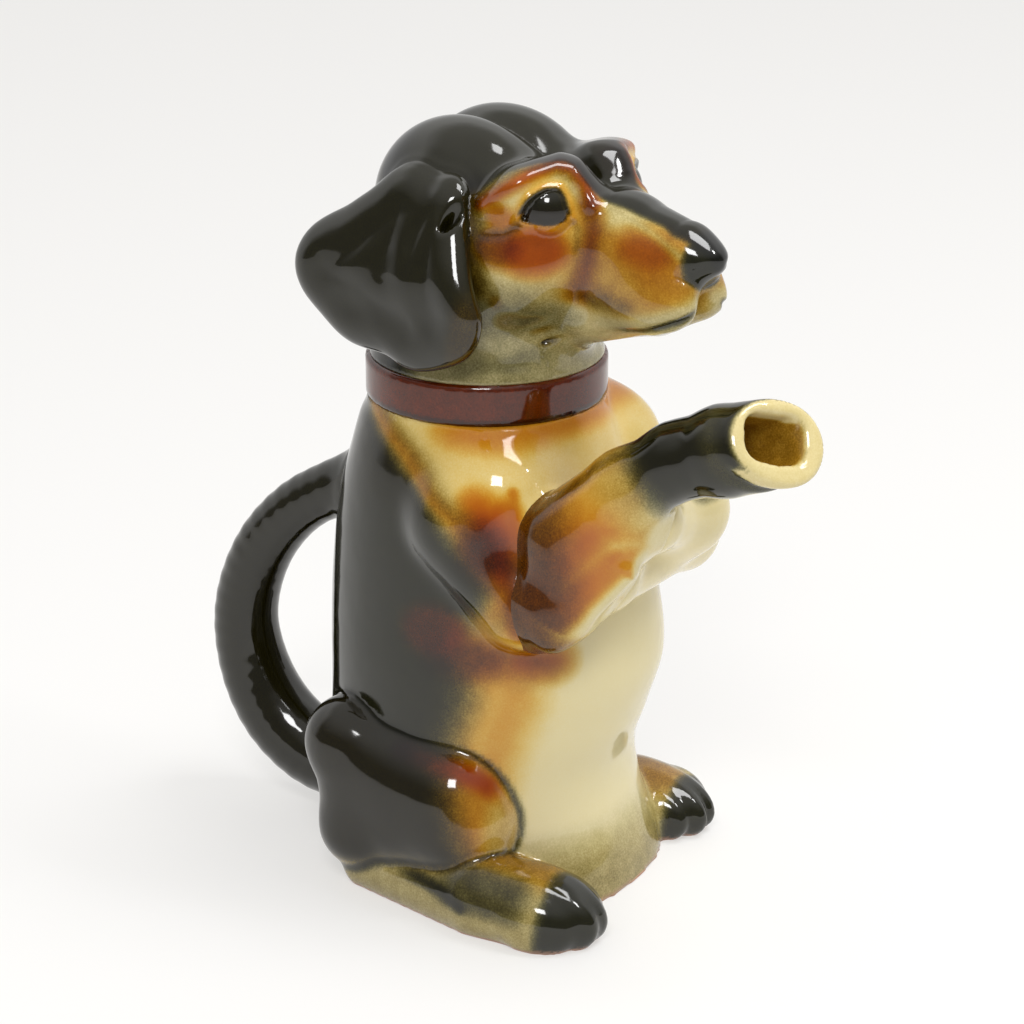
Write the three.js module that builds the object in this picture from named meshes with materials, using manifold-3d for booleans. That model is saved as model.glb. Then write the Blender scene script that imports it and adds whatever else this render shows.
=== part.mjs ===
import * as THREE from 'three';
import { mergeVertices } from 'three/addons/utils/BufferGeometryUtils.js';
import Module from 'manifold-3d';

// A glazed pottery teapot in the form of a dog sitting up and begging.
// The dog faces -Y, its left side is +X, the flat base lies on z = 0 and all lengths are in millimetres.
// Rounded forms are blended fields. Rays are sent through each field and the points where
// they meet its surface become the rings of a closed skin.

// The pot: outer sizes that the shares of its forms are taken of.
const POT_HALF_WIDTH = 50;
const POT_HALF_DEPTH = 50;
const POT_HEIGHT = 125;
const POT_WALL = 4;
const POT_FLOOR = 5.5;
const POT_FORM_LENGTH = 25;

// The neck of the pot, its mouth and the collar around it.
const NECK_RADIUS = 26.3;
const NECK_HEIGHT = 10.2;
const MOUTH_RADIUS = 23;
const MOUTH_DEPTH = 12;
const COLLAR_RADIUS = 30.1;
const COLLAR_ROUNDING = 1.2;
const COLLAR_GROOVE = 0.9;

// The lid: a dog's head with a flange that drops into the mouth.
const HEAD_HALF_WIDTH = 25;
const HEAD_REACH = 67;
const HEAD_HEIGHT = 64;
const HEAD_WALL = 3.6;
const HEAD_NECK_RADIUS = 29;
const HEAD_TURN_DEGREES = 10;
const FLANGE_RADIUS = 22.5;
const FLANGE_WALL = 3;
const FLANGE_DEPTH = 12;
const FLANGE_ROUNDING = 1.5;
const EYE_RADIUS = 5.2;

// The ears hang beside the head as thick leaves.
const EAR_SPAN = 50;
const EAR_THICKNESS = 8.4;
const EAR_DISTANCE = 33;
const EAR_DISH = 1.6;
const EAR_HEIGHT = 26.8;

// The forelegs. The right one is the spout and its paw is cut off at the mouth.
const FORELEG_RADIUS = 11;
const SPOUT_BORE_RADIUS = 4.4;
const SPOUT_MOUTH_RADIUS = 6.6;
const PAW_HALF_LENGTH = 17;

// The hind feet with their toes.
const TOE_HALF_LENGTH = 7.5;
const LEFT_FOOT_SHIFT = 4;

// The tail is the handle, a round bar.
const HANDLE_RADIUS = 7;
const HANDLE_REACH = 75.5;

// Clearances and the overrun for cuts.
const CLEARANCE = 0.3;
const OVERRUN = 2;

// How finely rays search for a surface, and how far out they start.
const SEARCH_STRIDE = 0.8;
const SEARCH_REACH = 130;

// Section of the trunk from base to neck: height, half width, front depth, back depth, squareness.
const TRUNK_SHARES = [
  [-0.05, 0.74, 0.88, 0.52, 2.6],
  [0, 0.75, 0.88, 0.58, 2.6],
  [0.064, 0.75, 0.85, 0.68, 2.5],
  [0.16, 0.74, 0.77, 0.78, 2.3],
  [0.256, 0.73, 0.75, 0.81, 2.2],
  [0.36, 0.73, 0.84, 0.81, 2.1],
  [0.48, 0.74, 0.93, 0.81, 2.05],
  [0.6, 0.73, 0.9, 0.8, 2.05],
  [0.72, 0.72, 0.82, 0.77, 2.05],
  [0.824, 0.7, 0.74, 0.72, 2.05],
  [0.896, 0.67, 0.69, 0.67, 2.05],
  [0.952, 0.63, 0.64, 0.636, 2],
  [0.992, 0.596, 0.596, 0.596, 2],
  [1.12, 0.59, 0.59, 0.59, 2],
];

// Heights of the rings of the pot's skin and of its hollow.
const POT_RING_SHARES = [
  0, 0.035, 0.075, 0.12, 0.165, 0.21, 0.255, 0.3, 0.35, 0.4, 0.45, 0.5, 0.55, 0.59,
  0.625, 0.66, 0.7, 0.74, 0.78, 0.82, 0.86, 0.9, 0.94, 0.97, 1,
];
const HOLLOW_RING_SHARES = [
  0, 0.05, 0.12, 0.2, 0.28, 0.36, 0.42, 0.5, 0.58, 0.66, 0.74, 0.82, 0.9, 0.96, 1,
];
const POT_SIDES = 52;
const HOLLOW_SIDES = 30;

// Angles away from the nose of the rings of the head's skin, as shares of a half turn.
const HEAD_RING_SHARES = [
  0.012, 0.026, 0.04, 0.052, 0.063, 0.075, 0.088, 0.103, 0.12, 0.14, 0.162, 0.187, 0.215, 0.245, 0.277,
  0.31, 0.345, 0.382, 0.42, 0.46, 0.502, 0.545, 0.59, 0.637, 0.686, 0.737, 0.79, 0.845, 0.9, 0.955,
];
const HEAD_SIDES = 44;
const HEAD_HOLLOW_STRIDE = 2;
const NOSE_RADIUS_SHARE = 0.25;

// Where the toes sit on the paw: across, forward, and outward turn in degrees.
const TOE_PLACE_SHARES = [
  [-0.15, 0.17, -10],
  [-0.05, 0.23, -12],
  [0.055, 0.22, -14],
  [0.15, 0.16, -18],
];

// The tail's curve from the back down to the base: depth and height.
const HANDLE_CURVE_SHARES = [
  [0.42, 0.768], [0.596, 0.736], [0.755, 0.672], [0.887, 0.584], [0.974, 0.48],
  [1, 0.376], [0.967, 0.264], [0.874, 0.168], [0.728, 0.104], [0.56, 0.084], [0.4, 0.08],
];

const wasm = await Module();
wasm.setup();

const radians = THREE.MathUtils.degToRad;

// Field arithmetic: a field is a function of x, y and z that is negative inside its form.

function blendOf(a, b, size) {
  const overlap = Math.max(size - Math.abs(a - b), 0) / size;
  return Math.min(a, b) - overlap * overlap * size / 4;
}

function turnMatrix(degrees) {
  const [x, y, z] = degrees.map(radians);
  return new THREE.Matrix4().makeRotationFromEuler(new THREE.Euler(x, y, z, 'ZYX')).elements;
}

function ellipsoid(at, half, degrees = [0, 0, 0]) {
  const m = turnMatrix(degrees);
  return (x, y, z) => {
    const dx = x - at[0];
    const dy = y - at[1];
    const dz = z - at[2];
    const p = (m[0] * dx + m[1] * dy + m[2] * dz) / half[0];
    const q = (m[4] * dx + m[5] * dy + m[6] * dz) / half[1];
    const r = (m[8] * dx + m[9] * dy + m[10] * dz) / half[2];
    const level = Math.hypot(p, q, r);
    const slope = Math.hypot(p / half[0], q / half[1], r / half[2]);
    return slope > 0 ? level * (level - 1) / slope : -Math.min(...half);
  };
}

function taperedBar(from, to, startRadius, endRadius) {
  const dx = to[0] - from[0];
  const dy = to[1] - from[1];
  const dz = to[2] - from[2];
  const lengthSquared = dx * dx + dy * dy + dz * dz;
  return (x, y, z) => {
    const px = x - from[0];
    const py = y - from[1];
    const pz = z - from[2];
    const along = THREE.MathUtils.clamp((px * dx + py * dy + pz * dz) / lengthSquared, 0, 1);
    const away = Math.hypot(px - along * dx, py - along * dy, pz - along * dz);
    return away - startRadius - (endRadius - startRadius) * along;
  };
}

// Forms are joined one after the other, each with the size of its own blend.
function joinForms(first, ...others) {
  return (x, y, z) => others.reduce((sum, [form, size]) => blendOf(sum, form(x, y, z), size), first(x, y, z));
}

function mirrored(form) {
  return (x, y, z) => form(Math.abs(x), y, z);
}

// Smooth curve through rows whose first entry is the place along the curve.
function smoothRow(rows, place) {
  const last = rows.length - 1;
  const t = THREE.MathUtils.clamp(place, rows[0][0], rows[last][0]);
  let i = 0;
  while (i < last - 1 && t >= rows[i + 1][0]) i += 1;
  const span = rows[i + 1][0] - rows[i][0];
  const u = (t - rows[i][0]) / span;
  const slopeAt = (k, column) => {
    const before = rows[Math.max(k - 1, 0)];
    const after = rows[Math.min(k + 1, last)];
    return (after[column] - before[column]) / (after[0] - before[0]);
  };
  return rows[i].map((value, column) => {
    const next = rows[i + 1][column];
    const rise = 3 * u * u - 2 * u * u * u;
    const leave = (u * u * u - 2 * u * u + u) * span;
    const arrive = (u * u * u - u * u) * span;
    return value * (1 - rise) + next * rise + leave * slopeAt(i, column) + arrive * slopeAt(i + 1, column);
  });
}

// The pot's own places and sizes from shares.
const potAt = (x, y, z) => [x * POT_HALF_WIDTH, y * POT_HALF_DEPTH, z * POT_HEIGHT];
const potSize = (share) => share * POT_FORM_LENGTH;
const potSizes = (x, y, z) => [potSize(x), potSize(y), potSize(z)];

function trunk(x, y, z) {
  const [, width, front, back, power] = smoothRow(TRUNK_SHARES, z / POT_HEIGHT);
  const depth = (y < 0 ? front : back) * POT_HALF_DEPTH;
  const across = Math.abs(x) / (width * POT_HALF_WIDTH);
  const along = Math.abs(y) / depth;
  const level = (across ** power + along ** power) ** (1 / power);
  const away = Math.hypot(x, y);
  return level > 0 ? away * (1 - 1 / level) : -depth;
}

const shoulder = ellipsoid(potAt(0.48, -0.3, 0.848), potSizes(0.58, 0.68, 0.64));
const upperArm = taperedBar(potAt(0.6, -0.2, 0.808), potAt(0.62, -0.52, 0.656), potSize(0.48), potSize(0.38));
const footSole = taperedBar(potAt(0.66, 0.26, 0.028), potAt(0.74, -0.5, 0.05), potSize(0.26), potSize(0.36));
const hindPaw = ellipsoid(potAt(0.75, -0.62, 0.058), potSizes(0.44, 0.5, 0.38), [0, 0, -12]);
const hindLeg = joinForms(footSole, [hindPaw, potSize(0.16)]);

const potForm = joinForms(
  trunk,
  [mirrored(shoulder), potSize(0.36)],
  [mirrored(upperArm), potSize(0.24)],
);

// The spout leg runs from the elbow to a paw that is open at its end.
const legSize = (share) => share * FORELEG_RADIUS;
const spoutPaw = ellipsoid(
  potAt(-0.42, -1.67, 1.03),
  [legSize(1.05), PAW_HALF_LENGTH, legSize(1)],
  [-22, 0, -8],
);
const spoutForm = joinForms(
  taperedBar(potAt(-0.6, -0.68, 0.672), potAt(-0.52, -1, 0.848), legSize(1), legSize(0.95)),
  [taperedBar(potAt(-0.6, -0.7, 0.672), potAt(-0.62, -0.62, 0.612), legSize(0.9), legSize(0.36)), legSize(0.36)],
  [taperedBar(potAt(-0.56, -0.72, 0.8), potAt(-0.52, -0.92, 0.88), legSize(0.95), legSize(0.86)), legSize(0.72)],
  [taperedBar(potAt(-0.52, -1.04, 0.864), potAt(-0.44, -1.4, 0.984), legSize(0.86), legSize(0.77)), legSize(0.54)],
  [spoutPaw, legSize(0.45)],
);

const leftPaw = ellipsoid(potAt(0.08, -1.07, 0.8), [legSize(0.82), legSize(1), legSize(0.77)], [-30, 0, 40]);
const leftForm = joinForms(
  taperedBar(potAt(0.66, -0.6, 0.64), potAt(0.4, -0.88, 0.72), legSize(1), legSize(0.82)),
  [taperedBar(potAt(0.4, -0.88, 0.72), potAt(0.18, -1.02, 0.776), legSize(0.82), legSize(0.72)), legSize(0.45)],
  [leftPaw, legSize(0.45)],
);

// The head's places are measured from the middle of its lower edge, before it is turned.
const headAt = (x, y, z) => [x * HEAD_HALF_WIDTH, y * HEAD_REACH, z * HEAD_HEIGHT];
const headSize = (share) => share * HEAD_HALF_WIDTH;
const headSizes = (x, y, z) => [headSize(x), headSize(y), headSize(z)];

const skull = ellipsoid(headAt(0.32, 0, 0.583), headSizes(0.7, 1, 0.92), [8, 0, 0]);
const muzzle = taperedBar(headAt(0, -0.21, 0.466), headAt(0, -0.85, 0.47), headSize(0.72), headSize(0.36));
const upperLip = ellipsoid(headAt(0.22, -0.73, 0.4), headSizes(0.3, 0.68, 0.32), [2, 0, 6]);
const lowerJaw = taperedBar(headAt(0, -0.27, 0.264), headAt(0, -0.79, 0.31), headSize(0.52), headSize(0.26));
const cheek = ellipsoid(headAt(0.56, -0.24, 0.434), headSizes(0.48, 0.64, 0.6));
const nose = ellipsoid(headAt(0, -0.95, 0.52), headSizes(NOSE_RADIUS_SHARE, NOSE_RADIUS_SHARE, 0.22));
const brow = taperedBar(headAt(0.3, -0.44, 0.758), headAt(0.7, -0.35, 0.747), headSize(0.26), headSize(0.24));
const headNeck = taperedBar(headAt(0, 0, -0.06), headAt(0, 0.015, 0.36), HEAD_NECK_RADIUS, headSize(0.92));

const headForm = joinForms(
  mirrored(skull),
  [muzzle, headSize(0.4)],
  [mirrored(upperLip), headSize(0.24)],
  [lowerJaw, headSize(0.24)],
  [mirrored(cheek), headSize(0.32)],
  [nose, headSize(0.08)],
  [mirrored(brow), headSize(0.3)],
  [headNeck, headSize(0.32)],
);

// Surface search along a ray: from outside inwards, or from inside outwards.

function pointOn(origin, direction, distance) {
  return origin.map((value, axis) => value + direction[axis] * distance);
}

function settle(form, origin, direction, inside, outside, level) {
  let low = inside;
  let high = outside;
  for (let turn = 0; turn < 24; turn += 1) {
    const middle = (low + high) / 2;
    if (form(...pointOn(origin, direction, middle)) < level) low = middle;
    else high = middle;
  }
  return pointOn(origin, direction, (low + high) / 2);
}

function outerPoint(form, origin, direction, level) {
  let distance = SEARCH_REACH;
  while (distance > SEARCH_STRIDE && form(...pointOn(origin, direction, distance)) >= level) {
    distance -= SEARCH_STRIDE;
  }
  return settle(form, origin, direction, distance, distance + SEARCH_STRIDE, level);
}

function innerPoint(form, origin, direction, level) {
  let distance = 0;
  while (distance < SEARCH_REACH && form(...pointOn(origin, direction, distance)) < level) {
    distance += SEARCH_STRIDE;
  }
  return settle(form, origin, direction, Math.max(distance - SEARCH_STRIDE, 0), distance, level);
}

// Closed skins: rings of points between a first and a last point.

function meanPoint(ring) {
  return [0, 1, 2].map((axis) => ring.reduce((sum, point) => sum + point[axis], 0) / ring.length);
}

function skin(rings, first = meanPoint(rings[0]), last = meanPoint(rings[rings.length - 1])) {
  const sides = rings[0].length;
  const points = [first, ...rings.flat(), last];
  const index = [];
  const at = (ring, side) => 1 + ring * sides + (side % sides);
  for (let side = 0; side < sides; side += 1) {
    index.push(0, at(0, side + 1), at(0, side));
    index.push(points.length - 1, at(rings.length - 1, side), at(rings.length - 1, side + 1));
    for (let ring = 0; ring + 1 < rings.length; ring += 1) {
      index.push(at(ring, side), at(ring, side + 1), at(ring + 1, side + 1));
      index.push(at(ring, side), at(ring + 1, side + 1), at(ring + 1, side));
    }
  }
  const geometry = new THREE.BufferGeometry();
  geometry.setAttribute('position', new THREE.Float32BufferAttribute(points.flat(), 3));
  geometry.setIndex(index);
  return solidOf(geometry);
}

function solidOf(source) {
  const plain = source.clone();
  for (const name of Object.keys(plain.attributes)) {
    if (name !== 'position') plain.deleteAttribute(name);
  }
  const merged = mergeVertices(plain);
  const vertProperties = new Float32Array(merged.attributes.position.array);
  const triVerts = new Uint32Array(merged.index.array);
  const made = new wasm.Manifold(new wasm.Mesh({ numProp: 3, vertProperties, triVerts }));
  if (made.volume() > 0) return made;
  for (let corner = 0; corner < triVerts.length; corner += 3) {
    [triVerts[corner], triVerts[corner + 1]] = [triVerts[corner + 1], triVerts[corner]];
  }
  return new wasm.Manifold(new wasm.Mesh({ numProp: 3, vertProperties, triVerts }));
}

function roundAngles(sides) {
  return Array.from({ length: sides }, (unused, side) => 2 * Math.PI * side / sides);
}

// Level rings around the upright axis.
function levelRings(heights, sides, find) {
  return heights.map((height) => roundAngles(sides).map((angle) => (
    find([0, 0, height], [Math.sin(angle), -Math.cos(angle), 0])
  )));
}

// Rings of rays that fan out from a centre around a pole.
function fanRings(centre, pole, angles, sides, find) {
  const forward = new THREE.Vector3(...pole).normalize();
  const across = new THREE.Vector3().crossVectors(forward, new THREE.Vector3(0, 0, 1)).normalize();
  const upward = new THREE.Vector3().crossVectors(across, forward);
  return angles.map((angle) => roundAngles(sides).map((around) => {
    const direction = new THREE.Vector3()
      .addScaledVector(forward, Math.cos(angle))
      .addScaledVector(upward, Math.sin(angle) * Math.cos(around))
      .addScaledVector(across, Math.sin(angle) * Math.sin(around));
    return find(centre, direction.toArray());
  }));
}

// A limb's skin: rings square to the line from its root to its tip.
function limbSkin(form, root, tip, steps, sides) {
  const line = new THREE.Vector3(...tip).sub(new THREE.Vector3(...root));
  const across = new THREE.Vector3().crossVectors(line, new THREE.Vector3(0, 0, 1)).normalize();
  const upward = new THREE.Vector3().crossVectors(across, line).normalize();
  const unit = line.clone().normalize();
  const first = outerPoint(form, root, unit.clone().negate().toArray(), 0);
  const last = outerPoint(form, root, unit.toArray(), 0);
  const rings = Array.from({ length: steps }, (unused, step) => {
    const share = (1 - Math.cos(Math.PI * (step + 1) / (steps + 1))) / 2;
    const origin = first.map((value, axis) => value + (last[axis] - value) * share);
    return roundAngles(sides).map((angle) => {
      const direction = across.clone().multiplyScalar(Math.cos(angle)).addScaledVector(upward, Math.sin(angle));
      return outerPoint(form, origin, direction.toArray(), 0);
    });
  });
  return skin(rings, first, last);
}

// A round bar along a curve, its ends flat. Radii belong to the curve's points.
function bar(curvePoints, radii, sides, stepsBetween) {
  const curve = new THREE.CatmullRomCurve3(curvePoints.map((point) => new THREE.Vector3(...point)));
  const steps = (curvePoints.length - 1) * stepsBetween;
  const rings = Array.from({ length: steps + 1 }, (unused, step) => {
    const share = step / steps;
    const centre = curve.getPoint(share);
    const along = curve.getTangent(share);
    const side = new THREE.Vector3(1, 0, 0);
    side.addScaledVector(along, -side.dot(along)).normalize();
    const other = new THREE.Vector3().crossVectors(along, side);
    const place = share * (radii.length - 1);
    const index = Math.min(Math.floor(place), radii.length - 2);
    const radius = THREE.MathUtils.lerp(radii[index], radii[index + 1], place - index);
    return roundAngles(sides).map((angle) => centre.clone()
      .addScaledVector(side, radius * Math.cos(angle))
      .addScaledVector(other, radius * Math.sin(angle))
      .toArray());
  });
  return skin(rings);
}

// A turned solid around the upright axis from an outline of radius and height.
function turned(outline, sides) {
  const points = [...outline, outline[0]].map(([radius, height]) => new THREE.Vector2(radius, height));
  const geometry = new THREE.LatheGeometry(points, sides);
  geometry.rotateX(Math.PI / 2);
  return solidOf(geometry);
}

const turnedSides = 56;
const ledge = POT_HEIGHT;
const neckTop = ledge + NECK_HEIGHT;

// The pot's skin, also made a little larger as a cutter for the pieces that meet it.
const potHeights = POT_RING_SHARES.map((share) => share * POT_HEIGHT);

function potSkin(level) {
  return skin(levelRings(potHeights, POT_SIDES, (origin, ray) => outerPoint(potForm, origin, ray, level)));
}

// A rounded lump as a solid of its own.
function lump(at, half, degrees, around, down) {
  const ball = new THREE.SphereGeometry(1, around, down);
  ball.rotateX(Math.PI / 2);
  ball.scale(...half);
  ball.applyMatrix4(new THREE.Matrix4().makeRotationFromEuler(new THREE.Euler(...degrees.map(radians), 'ZYX')));
  ball.translate(...at);
  return solidOf(ball);
}

function hindLegOn(side) {
  const shift = side > 0 ? LEFT_FOOT_SHIFT : 0;
  const leg = limbSkin(hindLeg, potAt(0.7, 0.1, 0.05), potAt(0.75, -0.62, 0.058), 14, 20);
  const toes = TOE_PLACE_SHARES.map(([across, forward, turn]) => (
    lump(
      potAt(0.75 + across, -0.62 - forward, 0.052),
      [TOE_HALF_LENGTH * 0.44, TOE_HALF_LENGTH, TOE_HALF_LENGTH * 0.8],
      [0, 0, turn],
      12,
      8,
    )
  ));
  const foot = toes.reduce((sum, toe) => sum.add(toe), leg).translate([0, shift, 0]);
  const haunch = lump(potAt(0.64, 0, 0.232), potSizes(0.52, 1.24, 0.9), [-5, 0, 5], 28, 18);
  const whole = foot.add(haunch);
  return side > 0 ? whole : whole.mirror([1, 0, 0]);
}

function aboveBase(piece) {
  return piece.intersect(turned([
    [0, 0],
    [SEARCH_REACH, 0],
    [SEARCH_REACH, SEARCH_REACH + POT_HEIGHT],
    [0, SEARCH_REACH + POT_HEIGHT],
  ], turnedSides));
}

// The spout's bore runs from the hollow of the pot up through the leg to the paw's mouth.
const boreCurve = [
  potAt(-0.4, -0.36, 0.76),
  potAt(-0.52, -0.88, 0.85),
  potAt(-0.46, -1.32, 0.96),
  potAt(-0.425, -1.7, 1.045),
  potAt(-0.4, -1.98, 1.12),
];
const boreRadii = [
  SPOUT_BORE_RADIUS,
  SPOUT_BORE_RADIUS,
  SPOUT_BORE_RADIUS,
  SPOUT_MOUTH_RADIUS * 0.86,
  SPOUT_MOUTH_RADIUS * 1.25,
];

function bore() {
  return bar(boreCurve, boreRadii, 16, 4);
}

// The mouth of the spout is a slanting flat cut across the paw.
function mouthCut() {
  const size = PAW_HALF_LENGTH * 4;
  const block = new THREE.BoxGeometry(size, size, size);
  block.translate(0, 0, size / 2);
  const facing = new THREE.Vector3(-0.45, -0.72, 0.53).normalize();
  block.applyQuaternion(new THREE.Quaternion().setFromUnitVectors(new THREE.Vector3(0, 0, 1), facing));
  block.translate(...potAt(-0.43, -1.78, 1.067));
  return solidOf(block);
}

function potBody() {
  const neck = turned([
    [0, ledge - OVERRUN],
    [NECK_RADIUS, ledge - OVERRUN],
    [NECK_RADIUS, neckTop],
    [0, neckTop],
  ], turnedSides);
  const mouth = turned([
    [0, ledge - MOUTH_DEPTH],
    [MOUTH_RADIUS, ledge - MOUTH_DEPTH + OVERRUN],
    [MOUTH_RADIUS, neckTop + OVERRUN],
    [0, neckTop + OVERRUN],
  ], turnedSides);
  const hollowTop = POT_HEIGHT - MOUTH_DEPTH + OVERRUN * 2;
  const heights = HOLLOW_RING_SHARES.map((share) => POT_FLOOR + share * (hollowTop - POT_FLOOR));
  const hollow = skin(levelRings(heights, HOLLOW_SIDES, (origin, ray) => (
    innerPoint(potForm, origin, ray, -POT_WALL)
  )));
  return aboveBase(potSkin(0).add(hindLegOn(-1)).add(hindLegOn(1)))
    .add(neck)
    .subtract(hollow)
    .subtract(mouth)
    .subtract(bore());
}

function collar() {
  const inner = NECK_RADIUS + CLEARANCE;
  return turned([
    [inner, ledge],
    [COLLAR_RADIUS - COLLAR_GROOVE, ledge],
    [COLLAR_RADIUS - COLLAR_GROOVE, ledge + COLLAR_GROOVE],
    [COLLAR_RADIUS, ledge + COLLAR_GROOVE * 2],
    [COLLAR_RADIUS, neckTop - COLLAR_ROUNDING],
    [COLLAR_RADIUS - COLLAR_ROUNDING * 0.3, neckTop - COLLAR_ROUNDING * 0.3],
    [COLLAR_RADIUS - COLLAR_ROUNDING, neckTop],
    [inner, neckTop],
  ], turnedSides);
}

function tailHandle(potCutter) {
  const points = HANDLE_CURVE_SHARES.map(([depth, height]) => [0, depth * HANDLE_REACH, height * POT_HEIGHT]);
  return bar(points, points.map(() => HANDLE_RADIUS), 18, 2).subtract(potCutter);
}

function spoutForeleg(potCutter) {
  return limbSkin(spoutForm, potAt(-0.56, -0.8, 0.76), potAt(-0.42, -1.67, 1.03), 22, 24)
    .subtract(mouthCut())
    .subtract(bore())
    .subtract(potCutter);
}

function leftForeleg(potCutter) {
  const nearSpout = (x, y, z) => spoutForm(x, y, z) - CLEARANCE;
  const spoutCutter = limbSkin(nearSpout, potAt(-0.56, -0.8, 0.76), potAt(-0.42, -1.67, 1.03), 22, 24);
  return limbSkin(leftForm, potAt(0.5, -0.78, 0.69), potAt(0.08, -1.07, 0.8), 16, 22)
    .subtract(potCutter)
    .subtract(spoutCutter);
}

const headCentre = headAt(0, -0.1, 0.49);
const headAngles = HEAD_RING_SHARES.map((share) => share * Math.PI);

function headSkin(level) {
  const find = (origin, ray) => outerPoint(headForm, origin, ray, level);
  const rings = fanRings(headCentre, [0, -1, 0], headAngles, HEAD_SIDES, find);
  return skin(rings, find(headCentre, [0, -1, 0]), find(headCentre, [0, 1, 0]));
}

function eyeOn(side) {
  return lump(
    headAt(side * 0.62, -0.455, 0.69),
    [EYE_RADIUS, EYE_RADIUS, EYE_RADIUS * 0.92],
    [0, 0, 0],
    16,
    12,
  );
}

function headHollow() {
  const find = (origin, ray) => innerPoint(headForm, origin, ray, -HEAD_WALL);
  const angles = headAngles.filter((angle, ring) => ring % HEAD_HOLLOW_STRIDE === 1);
  const rings = fanRings(headCentre, [0, -1, 0], angles, HEAD_SIDES / 2, find);
  return skin(rings, find(headCentre, [0, -1, 0]), find(headCentre, [0, 1, 0]));
}

// Everything above the lower edge of the head.
function aboveNeck(piece) {
  return piece.intersect(turned([
    [0, 0],
    [SEARCH_REACH, 0],
    [SEARCH_REACH, SEARCH_REACH],
    [0, SEARCH_REACH],
  ], turnedSides));
}

function headLid() {
  const flange = turned([
    [0, -FLANGE_DEPTH],
    [FLANGE_RADIUS - FLANGE_ROUNDING, -FLANGE_DEPTH],
    [FLANGE_RADIUS, FLANGE_ROUNDING - FLANGE_DEPTH],
    [FLANGE_RADIUS, OVERRUN],
    [0, OVERRUN],
  ], turnedSides);
  const opening = turned([
    [0, -FLANGE_DEPTH - OVERRUN],
    [FLANGE_RADIUS - FLANGE_WALL, -FLANGE_DEPTH - OVERRUN],
    [FLANGE_RADIUS - FLANGE_WALL, OVERRUN * 2],
    [0, OVERRUN * 2],
  ], turnedSides);
  const hollow = aboveNeck(headHollow());
  return aboveNeck(headSkin(0)).add(eyeOn(-1)).add(eyeOn(1)).add(flange).subtract(hollow).subtract(opening);
}

// The outline of an ear, seen from the side, as blended bars from the root to the back and low corners.
const earAt = (y, z) => [0, y * EAR_SPAN, z * EAR_SPAN];
const earSize = (share) => share * EAR_SPAN;
const earRoot = earAt(0.04, 0.3);
const earOutline = joinForms(
  taperedBar(earRoot, earAt(0.38, 0), earSize(0.14), earSize(0.21)),
  [taperedBar(earRoot, earAt(-0.18, -0.25), earSize(0.14), earSize(0.22)), earSize(0.08)],
  [taperedBar(earAt(0.38, 0), earAt(-0.18, -0.25), earSize(0.21), earSize(0.22)), earSize(0.08)],
  [taperedBar(earRoot, earAt(0.08, 0), earSize(0.14), earSize(0.24)), earSize(0.08)],
  [taperedBar(earAt(-0.16, 0.33), earRoot, earSize(0.09), earSize(0.12)), earSize(0.06)],
);

function ear(side, headCutter) {
  const centre = earAt(0.08, 0.02);
  const edge = roundAngles(34).map((angle) => (
    outerPoint(earOutline, centre, [0, Math.cos(angle), Math.sin(angle)], 0)
  ));
  const spreadShares = [0.35, 0.65, 0.86, 0.96];
  const place = (point, share, face) => {
    const [, y, z] = point.map((value, axis) => centre[axis] + (value - centre[axis]) * share);
    const rise = Math.max(z, 0) / EAR_SPAN;
    const fall = Math.max(-z, 0) / EAR_SPAN;
    const middle = EAR_DISTANCE - EAR_SPAN * (0.42 * rise + 0.05 * fall) - EAR_DISH * share * share * face;
    const thickness = EAR_THICKNESS / 2 * Math.sqrt(Math.max(1 - share ** 2.6, 0));
    return [side * (middle + face * thickness), y, z + EAR_HEIGHT];
  };
  const outward = spreadShares.map((share) => edge.map((point) => place(point, share, 1)));
  const rim = edge.map((point) => place(point, 1, 0));
  const inward = [...spreadShares].reverse().map((share) => edge.map((point) => place(point, share, -1)));
  const leaf = skin([...outward, rim, ...inward], place(centre, 0, 1), place(centre, 0, -1));
  return leaf.subtract(headCutter);
}

// The lid's pieces are made upright and facing forward, then turned and set on the pot.
function setOnPot(piece) {
  return piece.rotate([0, 0, -HEAD_TURN_DEGREES]).translate([0, 0, neckTop]);
}

const looks = {
  pot_body: { color: '#a8925a', roughness: 0.14 },
  collar: { color: '#571d12', roughness: 0.12 },
  spout_foreleg: { color: '#6e6a3c', roughness: 0.14 },
  left_foreleg: { color: '#d8d7b4', roughness: 0.14 },
  tail_handle: { color: '#26261f', roughness: 0.12 },
  head_lid: { color: '#5d5234', roughness: 0.14 },
  right_ear: { color: '#1d1f1c', roughness: 0.1 },
  left_ear: { color: '#1d1f1c', roughness: 0.1 },
};

function meshOf(name, piece) {
  const { vertProperties, triVerts } = piece.getMesh();
  const geometry = new THREE.BufferGeometry();
  geometry.setAttribute('position', new THREE.BufferAttribute(new Float32Array(vertProperties), 3));
  geometry.setIndex(new THREE.BufferAttribute(new Uint32Array(triVerts), 1));
  geometry.computeVertexNormals();
  const mesh = new THREE.Mesh(geometry, new THREE.MeshStandardMaterial({ ...looks[name], metalness: 0 }));
  mesh.name = name;
  return mesh;
}

const potCutter = potSkin(CLEARANCE);
const headCutter = headSkin(CLEARANCE);
const pieces = {
  pot_body: potBody(),
  collar: collar(),
  spout_foreleg: spoutForeleg(potCutter),
  left_foreleg: leftForeleg(potCutter),
  tail_handle: tailHandle(potCutter),
  head_lid: setOnPot(headLid()),
  right_ear: setOnPot(ear(-1, headCutter)),
  left_ear: setOnPot(ear(1, headCutter)),
};

const teapot = new THREE.Group();
teapot.name = 'dog_teapot';
for (const [name, piece] of Object.entries(pieces)) teapot.add(meshOf(name, piece));

export default teapot;
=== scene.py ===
import math

import bpy
import numpy as np
from mathutils import Matrix, Vector


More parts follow.
